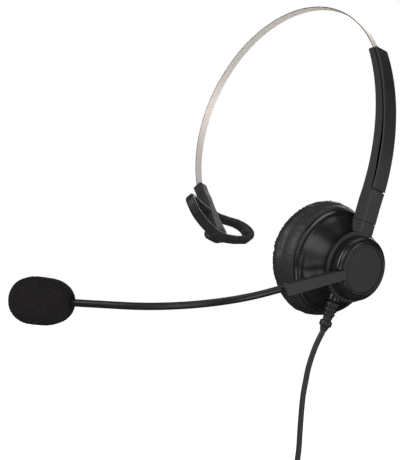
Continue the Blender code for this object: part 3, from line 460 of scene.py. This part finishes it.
def spun(profile, centre, axis=X_AXIS, segments=128):
    """A closed profile of (height, radius) in millimetres, spun about an axis through centre."""
    bm = bmesh.new()
    verts = [bm.verts.new((MM * radius, 0, MM * height)) for height, radius in profile]
    ring = [bm.edges.new((a, b)) for a, b in zip(verts, verts[1:] + verts[:1])
            if a.co.x > 1e-9 or b.co.x > 1e-9]
    bmesh.ops.spin(bm, geom=verts + ring, axis=Z_AXIS, cent=(0, 0, 0), angle=math.tau,
                   steps=segments, use_merge=True)
    bmesh.ops.remove_doubles(bm, verts=bm.verts, dist=1e-7)
    turn = Z_AXIS.rotation_difference(axis).to_matrix().to_4x4()
    bmesh.ops.transform(bm, matrix=Matrix.Translation(centre) @ turn, verts=bm.verts)
    return bm


def softened(points, times):
    """A smoother profile through about the same points: each corner is cut a few times."""
    for _ in range(times):
        cut = [points[0]]
        for (a, b), (c, d) in zip(points, points[1:]):
            cut += [(0.75 * a + 0.25 * c, 0.75 * b + 0.25 * d), (0.25 * a + 0.75 * c, 0.25 * b + 0.75 * d)]
        points = cut + [points[-1]]
    return points


def refined(name, node, material, width=0.00025, segments=2, sharp=35, trim=None):
    """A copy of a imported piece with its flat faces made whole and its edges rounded."""
    bm = bmesh.new()
    bm.from_mesh(nodes[node].data)
    bmesh.ops.remove_doubles(bm, verts=bm.verts, dist=2e-6)
    if trim:
        cut = bmesh.ops.bisect_plane(bm, geom=list(bm.verts) + list(bm.edges) + list(bm.faces), dist=1e-7,
                                     plane_co=trim[0], plane_no=trim[1], clear_outer=True)
        bmesh.ops.holes_fill(bm, edges=[e for e in cut["geom_cut"] if isinstance(e, bmesh.types.BMEdge)],
                             sides=0)
    bmesh.ops.dissolve_limit(bm, angle_limit=math.radians(0.6), verts=bm.verts, edges=bm.edges)
    piece = make(name, bm, material, nodes[node]["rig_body"], [node], sharp)
    return round_edges(piece, width, segments)


# %% [markdown]
# ## Cord
# The lead leaves the cup through a ribbed sleeve, hangs and swings back a little, and the rest of
# its two metres is folded into a hank with a tie, as it comes from the shop. The hank is drawn as
# the real thing is wound: down one run, round a fold, up the other run, three turns side by side
# and three layers deep, with the first and the last strand on the two faces. A curve with a round
# bevel keeps the thickness even all the way.

# %% Route of the cord
CORD_R = 1.5
HANK_TOP, HANK_HIGH, HANK_WIDE = -113.0, 87.0, 34.0
HANK_X, HANK_Y, LAYER = 24.1, 8.5, 3.05
FOLD_RADII = (9.3, 12.35, 15.4)
TAIL_END = HANK_TOP - HANK_HIGH - 10.0
ROUTE = [
    (24.00, 0.00, -33.0), (24.00, -0.05, -36.5), (23.8, -0.5, -40.0), (23.4, -0.8, -45.0),
    (23.3, -0.8, -51.0), (23.5, -0.6, -57.0), (24.0, 0.1, -63.0), (24.7, 0.9, -70.0), (25.7, 2.0, -76.5),
    (26.9, 3.2, -83.0), (28.2, 4.6, -90.0), (29.4, 6.0, -96.5), (30.1, 7.3, -103.0),
    (30.2, 8.2, -108.0), (30.2, 8.5, -112.7),
]
HANK_MIDDLE = HANK_TOP - HANK_HIGH / 2
HALF_RUN = (HANK_HIGH - HANK_WIDE) / 2


def smooth_run(points, parts=3):
    """Points on a smooth curve through the given ones."""
    found = []
    last = len(points) - 1
    for i in range(last):
        a, b, c, d = (Vector(points[min(max(k, 0), last)]) for k in (i - 1, i, i + 1, i + 2))
        for n in range(parts):
            t = n / parts
            found.append(0.5 * (2 * b + (c - a) * t + (2 * a - 5 * b + 4 * c - d) * t * t
                                + (3 * b - a - 3 * c + d) * t ** 3))
    return found + [Vector(points[-1])]


def ease(t):
    return t * t * (3 - 2 * t)


def drift(start, end, count=14):
    """A strand that moves sideways while it runs: it leaves and arrives in line."""
    return [Vector((start.x + (end.x - start.x) * ease(n / count),
                    start.y + (end.y - start.y) * ease(n / count),
                    start.z + (end.z - start.z) * n / count)) for n in range(1, count + 1)]


def fold(x, radius, upper, count=14):
    """Half a turn at one end of the hank: over the top from back to front, or below from front to back."""
    sign = 1 if upper else -1
    middle = HANK_MIDDLE + sign * HALF_RUN
    return [Vector((x, HANK_Y + sign * radius * math.cos(math.pi * n / count),
                    middle + sign * radius * math.sin(math.pi * n / count)))
            for n in range(1, count + 1)]


def hank_route():
    near, mid, far = FOLD_RADII
    order = [(1, near), (2, near), (2, mid), (2, far), (3, far), (3, mid), (3, near),
             (4, near), (4, mid), (4, far), (5, far)]
    places = [(HANK_X + (3 - layer) * LAYER, radius) for layer, radius in order]
    x, radius = places[0]
    upper, lower = HANK_MIDDLE + HALF_RUN, HANK_MIDDLE - HALF_RUN
    route = drift(Vector(ROUTE[-1]), Vector((x, HANK_Y - radius, upper - 12)))
    route += drift(route[-1], Vector((x, HANK_Y - radius, lower)), 8)
    for here, (x, radius) in enumerate(places[:-1]):
        if here:
            route += fold(x, radius, True)
            route += drift(route[-1], Vector((x, HANK_Y - radius, lower)), 8)
        route += fold(x, radius, False)
        next_x, next_radius = places[here + 1]
        route += drift(route[-1], Vector((next_x, HANK_Y + next_radius, upper)))
    x, radius = places[-1]
    route += fold(x, radius, True)
    route += drift(route[-1], Vector((x, HANK_Y, HANK_TOP - HANK_HIGH)), 18)
    route += drift(route[-1], Vector((x, HANK_Y, TAIL_END)), 4)
    return route


def cord_curve(name, points):
    curve = bpy.data.curves.new(name, "CURVE")
    curve.dimensions = "3D"
    spline = curve.splines.new("POLY")
    spline.points.add(len(points) - 1)
    for point, at in zip(spline.points, points):
        point.co = (*ear(*at), 1)
    spline.use_smooth = True
    curve.bevel_depth = CORD_R * MM
    curve.bevel_resolution = 3
    curve.use_fill_caps = True
    curve.materials.append(cord_rubber)
    piece = bpy.data.objects.new(name, curve)
    bpy.context.scene.collection.objects.link(piece)
    return piece


cord_points = smooth_run(ROUTE) + hank_route()
cord_length = sum((b - a).length for a, b in zip(cord_points, cord_points[1:])) * MM
lead = cord_curve("lead", cord_points)
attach(lead, "ear_cup")
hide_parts("cord", "cord_hank", "cord_tail")
print(f"cord: {cord_length:.3f} m, {len(cord_points)} points")

# %% [markdown]
# ## Strain relief
# A soft sleeve keeps the lead from kinking where it leaves the cup: two ribs that flex, a thin
# waist, a square-shouldered collar and a short taper. It is one turned shape.

# %% Strain relief
RELIEF_X = 24.0


def relief_profile():
    ribs = [(-20.5, 3.1), (-20.8, 3.45), (-21.2, 3.55), (-22.6, 3.5), (-23.0, 3.3), (-23.15, 2.95),
            (-23.65, 2.9), (-23.85, 3.25), (-24.2, 3.45), (-25.0, 3.4), (-25.4, 3.15), (-25.55, 2.75),
            (-26.05, 2.7), (-26.25, 3.0), (-26.6, 3.2), (-27.3, 3.0), (-27.9, 2.75), (-28.4, 2.45)]
    waist = [(-29.4, 2.35), (-30.35, 2.4), (-30.5, 2.7), (-30.6, 3.1), (-30.8, 3.25), (-33.0, 3.25),
             (-33.25, 3.1), (-33.35, 2.8), (-33.6, 2.45), (-34.6, 2.1), (-35.6, 1.85), (-36.0, 1.7)]
    return [(-15.0, 0), (-15.0, 2.05), (-20.45, 2.05)] + ribs + waist + [(-36.0, 0)]


sleeve = spun(relief_profile(), ear(RELIEF_X, 0, 0), Z_AXIS, 64)
relief = make("strain_relief_sleeve", sleeve, sleeve_rubber, "ear_cup",
              ["strain_relief"], sharp=50)

# %% [markdown]
# ## Ear cushion
# A ring of soft foam in a leatherette skin. The skin is sewn from a face panel and a back panel that
# meet in a seam round the outer side, and it is stretched over the baffle's rim, so the side panel
# shows gathered wrinkles and the back lip shows small pleats. The ring is spun, then its vertices
# are moved by noise that follows the ring, which keeps the wrinkles where the skin is slack.

# %% Cushion
CUSHION_FACE = [(12.4, 17.3), (9.4, 16.9), (6.0, 16.8), (3.4, 17.2), (1.7, 18.2), (0.6, 20.0),
                (0.15, 22.4), (0.05, 24.6), (0.35, 26.8), (1.2, 28.6), (2.6, 29.8), (4.4, 30.4),
                (6.2, 30.4), (7.6, 29.95), (8.2, 29.35)]
CUSHION_PIPING = [(8.35, 29.45), (8.6, 29.75), (9.0, 29.85), (9.4, 29.65), (9.6, 29.25)]
CUSHION_BACK = [(9.8, 29.15), (11.0, 29.05), (12.4, 28.75), (13.5, 28.3), (14.15, 27.8), (14.3, 27.4),
                (14.25, 27.15), (12.5, 27.1), (12.4, 22.0)]


def crumpled(x, y, z):
    """How far the skin stands from the plain ring at a point, in millimetres."""
    radius = math.hypot(y, z)
    turn = Vector((y, z)) / radius
    slack = max(0, 1 - abs(x - 4.8) / 4.6) * min(1, max(0, (radius - 25) / 3))
    folds = noise.noise(Vector((9 * turn.x, 9 * turn.y, 0.28 * x)))
    folds += 0.6 * noise.noise(Vector((21 * turn.x + 0.5 * x, 21 * turn.y, 0.35 * x + 5)))
    creases = abs(noise.noise(Vector((14 * turn.x, 14 * turn.y - 0.45 * x, 3 + 0.6 * x))))
    side = slack * (0.42 * folds - 0.75 * max(0, 0.16 - creases))
    gather = max(0, 1 - abs(x - 12.2) / 2.6) * (1 if radius > 25 else 0)
    pleats = noise.noise(Vector((26 * turn.x, 26 * turn.y, 11)))
    back = gather * (0.30 * pleats - 0.4 * max(0, 0.12 - abs(pleats)))
    inner = 0
    if radius < 24 and x < 9:
        inner = 0.16 * noise.noise(Vector((8 * turn.x, 8 * turn.y, 0.5 * x + 9)))
    return side + back + inner + 0.10 * noise.noise(Vector((0.22 * x + 2, 0.22 * y, 0.22 * z)))


def gathers(x, y, z):
    """Small upright tucks round the edge of the face panel, where the skin turns over, in millimetres."""
    radius = math.hypot(y, z)
    turn = Vector((y, z)) / radius
    near = max(0, 1 - abs(x - 1.6) / 2.6) * min(1, max(0, (radius - 24.5) / 2.5))
    tucks = noise.noise(Vector((46 * turn.x, 46 * turn.y, 0.35 * x)))
    return near * (0.55 * tucks - 1.2 * max(0, 0.12 - abs(tucks)))


def set_of(y, z):
    """How much further the soft ring stands out towards the front, where it isn't pressed."""
    angle = math.degrees(math.atan2(z, -y))
    return math.exp(-((angle - 2) / 42) ** 2)


def cushion_shape():
    face = softened(CUSHION_FACE, 2)
    back = softened(CUSHION_BACK, 1)
    bm = spun(face + CUSHION_PIPING + back, ear(0, 0, 0), X_AXIS, 300)
    for vert in bm.verts:
        x, y, z = (vert.co - EAR) / MM
        out = Vector((0, y, z)).normalized()
        front = max(0.0, 1 - x / 3)
        push = (out * (1 - front) - X_AXIS * front * 0.4).normalized()
        vert.co += MM * (crumpled(x, y, z) + gathers(x, y, z)) * push
        loft = set_of(y, z) * max(0, 1 - x / 9)
        outer = min(1, max(0, (math.hypot(y, z) - 20) / 6))
        vert.co += MM * loft * outer * (1.1 * out - 2.2 * X_AXIS)
    return bm


cushion = make("cushion_skin", cushion_shape(), leatherette, "ear_cup",
               ["ear_cushion"], sharp=60)
print("cushion:", len(cushion.data.polygons), "faces")

# %% [markdown]
# ## Cup bell
# The back of the cup is one glossy moulding: a thin bright lip, a hollow shoulder, and a bell that
# runs up to the flat end where the ball joint sits. It is spun from a closed profile, inside and
# out, and the collar that grips the cord's sleeve is joined to it.

# %% Cup bell
BELL_OUT = [(14.6, 27.35), (15.05, 27.6), (15.45, 27.45), (15.6, 26.9), (15.8, 26.1), (16.3, 25.1),
            (17.0, 24.3), (17.6, 23.8), (18.6, 22.8), (20.6, 20.2), (23.0, 17.2), (25.0, 14.3),
            (26.3, 12.0), (27.1, 10.4), (27.4, 9.3), (27.4, 7.2)]
BELL_IN = [(27.4, 3.9), (26.6, 3.1), (26.4, 3.3), (25.0, 4.05), (23.8, 4.3), (23.2, 4.3), (23.2, 7.8),
           (25.8, 7.8), (25.6, 12.5), (23.6, 15.6), (21.4, 18.4), (19.2, 20.7), (17.2, 22.0),
           (16.0, 24.2), (14.6, 24.2)]


FULL_FROM, FULL_TO, FULL_MOST = 16.2, 22.5, 1.5


def fuller_below(bm):
    """The outer wall is a little fuller in its lower half, where the sleeve is held."""
    for vert in bm.verts:
        x, y, z = (vert.co - EAR) / MM
        radius = math.hypot(y, z)
        middle_of_wall = 22.7 - 1.22 * (x - 18)
        if FULL_FROM < x < FULL_TO and radius > middle_of_wall and z < 0:
            along = (x - FULL_FROM) / (FULL_TO - FULL_FROM)
            share = math.sin(math.pi * along) * ease(-z / radius)
            vert.co += MM * FULL_MOST * share * Vector((0, y, z)) / radius


def cup_bell():
    profile = [BELL_OUT[0]] + softened(BELL_OUT[1:], 2) + BELL_IN
    outside = spun(profile, ear(0, 0, 0), X_AXIS, 160)
    fuller_below(outside)
    bell = make("cup_bell", outside, gloss_plastic, "ear_cup", ["cup_shell"])
    collar = spun([(-14.4, 2.5), (-14.4, 3.75), (-19.4, 3.75), (-19.8, 3.6), (-20.15, 3.2), (-20.2, 2.5)],
                  ear(RELIEF_X, 0, 0), Z_AXIS, 64)
    boolean(bell, make("collar", collar, gloss_plastic), "UNION")
    bore = spun([(-10, 0), (-10, 2.35), (-21, 2.35), (-21, 0)], ear(RELIEF_X, 0, 0), Z_AXIS, 48)
    boolean(bell, make("bore", bore, gloss_plastic), "DIFFERENCE")
    return bell


bell = cup_bell()
print("bell:", len(bell.data.polygons), "faces")

# %% [markdown]
# ## Hub and boom
# The boom turns on a round hub. Its side is glossy and its face carries a satin disc, which runs out
# into the boom's flat bar, so the bar has to leave through a notch. A cap closes the disc.

# %% Hub, boom bar and cap
HUB_OUT = [(31.4, 16.1), (31.55, 16.5), (31.9, 16.7), (33.4, 16.7), (34.9, 16.7), (35.7, 16.45),
           (36.4, 15.9), (36.95, 15.15), (37.3, 14.3), (37.45, 13.85), (37.4, 13.62)]
HUB_IN = [(32.8, 13.6), (32.8, 6.35), (31.4, 6.35)]
BOOM_DIP = math.radians(27.7)
BOOM_OUT = Vector((0, -math.cos(BOOM_DIP), -math.sin(BOOM_DIP)))
BOOM_SIDE = X_AXIS.cross(BOOM_OUT)
NOTCH_SIZE = Vector((8.0, 12.0, 5.9))
NOTCH_X, NOTCH_OUT = 37.9, 15
EDGE, SOFT_EDGE, FINE_EDGE = 0.00022, 0.00025, 0.00012


def hub():
    ring = spun(softened(HUB_OUT, 2) + HUB_IN, ear(0, 0, 0), X_AXIS, 160)
    shell = make("hub_rim", ring, gloss_plastic, "boom", ["hub_shell"])
    notch = bmesh.new()
    bmesh.ops.create_cube(notch, size=1)
    bmesh.ops.scale(notch, vec=MM * NOTCH_SIZE, verts=notch.verts)
    turn = Matrix((X_AXIS, BOOM_OUT, BOOM_SIDE)).transposed().to_4x4()
    place = Matrix.Translation(ear(NOTCH_X, *(NOTCH_OUT * BOOM_OUT).yz)) @ turn
    bmesh.ops.transform(notch, matrix=place, verts=notch.verts)
    boolean(shell, make("notch", notch, gloss_plastic), "DIFFERENCE")
    return shell


hub()
refined("boom_bar", "boom_arm", satin_plastic, EDGE, 3)
refined("cap_disc", "hub_cap", cap_plastic, FINE_EDGE, 2)
print(f"hub: {2 * HUB_OUT[2][1]:.1f} mm across, the boom leaves {math.degrees(BOOM_DIP):.1f} degrees down")

# %% [markdown]
# ## Gooseneck
# A bendable wire in a soft sheath. It starts straight, bends towards the mouth and ends straight in
# the microphone. The model bends it at two places, so the sheath is two tubes, each smooth across
# one of the joints, that meet in the middle of the link between them. Neither tube rides on a body,
# so neither follows the joints when they turn.

# %% Gooseneck
NECK_R = 1.85
NECK_STRAIGHT, NECK_BEND_R, NECK_BEND, NECK_END = 10.0, 77.0, 55.0, 25.0
NECK_ARC = NECK_BEND_R * math.radians(NECK_BEND)
NECK_START = 33.2 * X_AXIS + 51.4 * BOOM_OUT


def neck_point(along):
    """A point and the direction of the gooseneck, by the length along it."""
    bent = min(max(along - NECK_STRAIGHT, 0), NECK_ARC) / NECK_BEND_R
    past = max(along - NECK_STRAIGHT - NECK_ARC, 0)
    heading = math.cos(bent) * BOOM_OUT - math.sin(bent) * X_AXIS
    forward = min(along, NECK_STRAIGHT) + NECK_BEND_R * math.sin(bent)
    inward = NECK_BEND_R * (1 - math.cos(bent))
    return NECK_START + forward * BOOM_OUT - inward * X_AXIS + past * heading, heading


def neck_tube(start, end, spacing=0.9, sides=32):
    """A circle carried along the gooseneck's line, and closed at both ends."""
    bm = bmesh.new()
    count = round((end - start) / spacing)
    rings = []
    for n in range(count + 1):
        at, heading = neck_point(start + (end - start) * n / count)
        side = heading.cross(BOOM_SIDE)
        place = Matrix((BOOM_SIDE, side, -heading)).transposed().to_4x4()
        ring = bmesh.ops.create_circle(bm, segments=sides, radius=NECK_R * MM,
                                       matrix=Matrix.Translation(ear(*at)) @ place)["verts"]
        rings.append([bm.edges.get((a, b)) for a, b in zip(ring, ring[1:] + ring[:1])])
    for before, after in zip(rings, rings[1:]):
        bmesh.ops.bridge_loops(bm, edges=before + after)
    bmesh.ops.holes_fill(bm, edges=rings[0] + rings[-1], sides=sides)
    return bm


NECK_LENGTH = NECK_STRAIGHT + NECK_ARC + NECK_END
FLEX, FLEX_REACH = (38.0, 72.0), 12.0      # where the model's neck joints are, and a reach round each
HALFWAY = sum(FLEX) / 2
IN_BAR, IN_FOAM = 2.0, 10.5                # the sheath's ends are hidden in the bar and in the foam
upper_neck = make("gooseneck_near", neck_tube(-IN_BAR, HALFWAY), matte_plastic)
lower_neck = make("gooseneck_far", neck_tube(HALFWAY, NECK_LENGTH + IN_FOAM), matte_plastic)


def bent_at(tube, along):
    """Bakes the tube's place into its mesh; the points a reach before and after the given point of the
    line are found but not used.
    """
    start, end = (ear(*neck_point(along + reach)[0]) for reach in (-FLEX_REACH, FLEX_REACH))
    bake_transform(tube)


bent_at(upper_neck, FLEX[0])
bent_at(lower_neck, FLEX[1])
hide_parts("gooseneck_root", "gooseneck_middle")
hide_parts("gooseneck_tip")
print(f"gooseneck: {NECK_LENGTH:.1f} mm from the bar to the foam")

# %% [markdown]
# ## Windscreen
# A ball of open-cell foam is pulled over the microphone. It starts as a sphere, is stretched to an
# egg along the gooseneck, and its surface is roughened with two sizes of noise, so that even its
# outline looks cellular. The end that the gooseneck enters is drawn in a little.

# %% Windscreen
FOAM_LENGTH, FOAM_R = 34.0, 12.0


def windscreen():
    end, heading = neck_point(NECK_LENGTH)
    middle = end + (FOAM_LENGTH / 2 + 0.2) * heading
    side = heading.cross(BOOM_SIDE)
    turn = Matrix((BOOM_SIDE, side, -heading)).transposed().to_4x4()
    bm = bmesh.new()
    bmesh.ops.create_icosphere(bm, subdivisions=6, radius=1)
    for vert in bm.verts:
        point = vert.co.copy()
        along = -point.z
        blunt = (1 - abs(along) ** 2.7) ** 0.46 / max(1e-3, math.sqrt(1 - along * along))
        swell = (1 + 0.05 * along) * (blunt if abs(along) < 0.9995 else 1)
        rough = 0.16 * noise.noise(26 * point) + 0.13 * noise.noise(55 * point + Vector((7, 0, 0)))
        lump = 0.25 * noise.noise(2.2 * point)
        radial = (FOAM_R - 0.1) * swell + rough + lump
        dip = 1.6 * max(0.0, 1 - (1 + along) / 0.05) if along < -0.95 else 0.0
        vert.co = MM * Vector((point.x * radial, point.y * radial,
                               point.z * (FOAM_LENGTH / 2 - 0.2 + rough) - dip))
    bmesh.ops.transform(bm, matrix=Matrix.Translation(ear(*middle)) @ turn, verts=bm.verts)
    return bm


screen = make("windscreen", windscreen(), foam, "microphone", ["mic_foam"], sharp=180)

# %% [markdown]
# ## Temple rest
# A soft moulding with two looped wings that spread the band's push over the side of the head. The
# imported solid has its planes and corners; here it is remade from small cubes and smoothed, which
# rounds it as a rubber moulding is.


# %% Temple rest
def soft_moulding(name, node, material, voxel, rounds, grow, thin_at):
    """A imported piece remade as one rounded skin. It swells by grow, but not near thin_at, where it
    holds another piece."""
    bm = bmesh.new()
    bm.from_mesh(nodes[node].data)
    piece = make(name, bm, material, nodes[node]["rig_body"], [node], sharp=180, weld=2e-6)
    remesh = piece.modifiers.new("cells", "REMESH")
    remesh.mode = "VOXEL"
    remesh.voxel_size = voxel
    smooth = piece.modifiers.new("soft", "SMOOTH")
    smooth.iterations = rounds
    applied(piece)
    for vert, normal in [(v, Vector(v.normal)) for v in piece.data.vertices]:
        past = (vert.co - thin_at).length / MM
        vert.co += grow * ease(min(1, max(0, (past - 6) / 5))) * normal
    piece.data.shade_smooth()
    return piece


STEM_TOP = ear(*polar(BAND_CENTRE, BAND_R, STEM_START))
rest = soft_moulding("temple_wings", "temple_rest", temple_rubber,
                     voxel=0.00030, rounds=8, grow=0.00035, thin_at=STEM_TOP)
print("temple rest:", len(rest.data.polygons), "faces")

# %% [markdown]
# ## Headband
# A strip of spring steel, spun in two arcs: once about the middle of the head's circle, and on in a
# flatter arc inside the arm. Its long edges are rounded a little, and they are darker, because the
# strip is sheared there and the rolling never reaches them.

# %% Headband
SPIN_STEPS = (180, 24)


def steel_strip():
    bm = bmesh.new()
    for outside, side in ((-1, -1), (-1, 1), (1, 1), (1, -1)):
        at = polar(BAND_CENTRE, BAND_R + outside * BAND_THICK / 2, BAND_TEMPLE)
        bm.verts.new(ear(at.x, side * BAND_WIDTH / 2, at.z))
    section = list(bm.verts)
    edges = [bm.edges.new((a, b)) for a, b in zip(section, section[1:] + section[:1])]
    bm.faces.new(section)
    tip = section + edges
    arcs = ((BAND_CENTRE, BAND_TEMPLE - BAND_JOIN), (SLIDE_CENTRE, BAND_JOIN - BAND_TAIL))
    for (centre, turn), steps in zip(arcs, SPIN_STEPS):
        tip = bmesh.ops.spin(bm, geom=tip, axis=Y_AXIS, cent=ear(*centre), angle=math.radians(turn),
                             steps=steps)["geom_last"]
    bmesh.ops.holes_fill(bm, edges=[e for e in tip if isinstance(e, bmesh.types.BMEdge)], sides=4)
    return bm


strip = make("steel_band", steel_strip(), band_steel, "headband", ["band_strip"])
strip.data.materials.append(sheared_steel)
for face in strip.data.polygons:
    face.material_index = 1 if abs(face.normal.y) > 0.9 else 0
round_edges(strip, FINE_EDGE, 2, 50)

# %% [markdown]
# ## Arm and yoke
# Plain satin mouldings with small radii on their edges. Their shape is already right in the packed
# model, so each is a copy with its facets merged and its edges rounded. The arm's upper end is also
# trimmed at a slant.

# %% Arm, cover and yoke
ARM_TOP, ARM_INNER_R = 44.3, 113.7         # degrees, and millimetres, about the slide's centre
TRIM_INSET, TRIM_ANGLE = 0.35, 19          # degrees: where the slanted end begins, and its slant
corner = polar(SLIDE_CENTRE, ARM_INNER_R, ARM_TOP - TRIM_INSET)
slant = (ear(*corner), polar(Vector(), 1, ARM_TOP + 90 - TRIM_ANGLE))
refined("arm_body", "arm_shell", satin_plastic, EDGE, trim=slant)
refined("arm_lid", "arm_cover", satin_plastic, SOFT_EDGE, 3, trim=slant)
refined("yoke_ring", "yoke", satin_plastic, SOFT_EDGE, 3)

# %% [markdown]
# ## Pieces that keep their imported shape
# Screws, pins, the speaker's parts and the plug are already right, and they only need a finish.

# %% Finishes for the other pieces
FINISHES = {
    bright_steel: ("band_stop", "tail_rivet", "temple_pin", "arm_screw", "friction_spring", "swivel_pin",
                   "swivel_clip", "ball_stud", "hub_washer", "stud_nut", "cup_screw_1", "cup_screw_2",
                   "cup_screw_3", "mic_capsule", "plug_shell"),
    magnet_steel: ("speaker_magnet",),
    contact_gold: ("plug_contact_1", "plug_contact_2", "plug_contact_3", "plug_contact_4"),
    matte_plastic: ("ball_retainer", "baffle_plate", "speaker_basket", "plug_tongue", "mic_holder"),
    speaker_plastic: ("speaker_film",),
    board: ("terminal_board",),
    screen_cloth: ("ear_screen",),
    sleeve_rubber: ("plug_relief", "hank_tie"),
}
for material, names in FINISHES.items():
    for name in names:
        nodes[name].data.materials.clear()
        nodes[name].data.materials.append(material)
grip = refined("plug_handle", "plug_grip", sleeve_rubber, 0.0004, 3)

# %% [markdown]
# ## Studio
# A pale floor and a pale sky, with large soft lamps: one in front, one above, one at each side, one
# behind that draws the outlines, and a small weak one below for the underside. The floor and the
# sky light the piece but aren't seen in its shine, so that dark plastic stays dark.


# %% Floor, sky and lamps
FLOOR_HALF, FLOOR_BELOW, FLOOR_GLOW = 6, 0.010, 0.35


def studio_floor():
    bm = bmesh.new()
    bmesh.ops.create_grid(bm, x_segments=1, y_segments=1, size=FLOOR_HALF)
    bmesh.ops.translate(bm, vec=(0, 0, cad_box[0][2] - FLOOR_BELOW), verts=bm.verts)
    finish = Finish("floor_paper")
    finish.set("Base Color", finish.between((0.90, 0.90, 0.90), (0.93, 0.93, 0.93), finish.noise(3)))
    finish.set("Roughness", 0.8 + 0.1 * finish.noise(40))
    finish.set("Emission Color", (1, 1, 1, 1))
    finish.set("Emission Strength", FLOOR_GLOW)
    floor = make("floor", bm, finish.material)
    floor.visible_glossy = False


def studio_sky():
    """White all round. It fills the shadows, and the lamps alone make the highlights."""
    world = bpy.data.worlds.new("studio")
    world.use_nodes = True
    world.node_tree.nodes["Background"].inputs["Color"].default_value = (1, 1, 1, 1)
    world.cycles_visibility.glossy = False
    bpy.context.scene.world = world


def lamp(name, place, size, watts, target):
    data = bpy.data.lights.new(name, "AREA")
    data.shape = "RECTANGLE"
    data.size, data.size_y = size
    data.energy = watts
    light = bpy.data.objects.new(name, data)
    place = Vector(place)
    aim = (Vector(target) - place).to_track_quat("-Z", "Y")
    light.matrix_world = Matrix.Translation(place) @ aim.to_matrix().to_4x4()
    bpy.context.scene.collection.objects.link(light)


studio_floor()
studio_sky()
bpy.context.scene.view_settings.view_transform = "Standard"
MIDDLE = Vector((0.03, -0.03, -0.12))
lamp("front", (1.0, -0.9, 0.30), (0.9, 0.7), 4, MIDDLE)
lamp("above", (0.1, -0.1, 1.1), (1.2, 0.9), 3.5, MIDDLE)
lamp("left_side", (-0.25, -1.2, 0.05), (0.4, 1.0), 9, MIDDLE)
lamp("low", (0.45, -0.25, -0.36), (0.3, 0.3), 0.5, (0.08, -0.02, -0.15))
lamp("right_side", (1.2, 0.5, 0.0), (0.3, 1.0), 5, MIDDLE)
lamp("back", (-0.9, 0.9, 0.5), (0.8, 0.8), 6, MIDDLE)
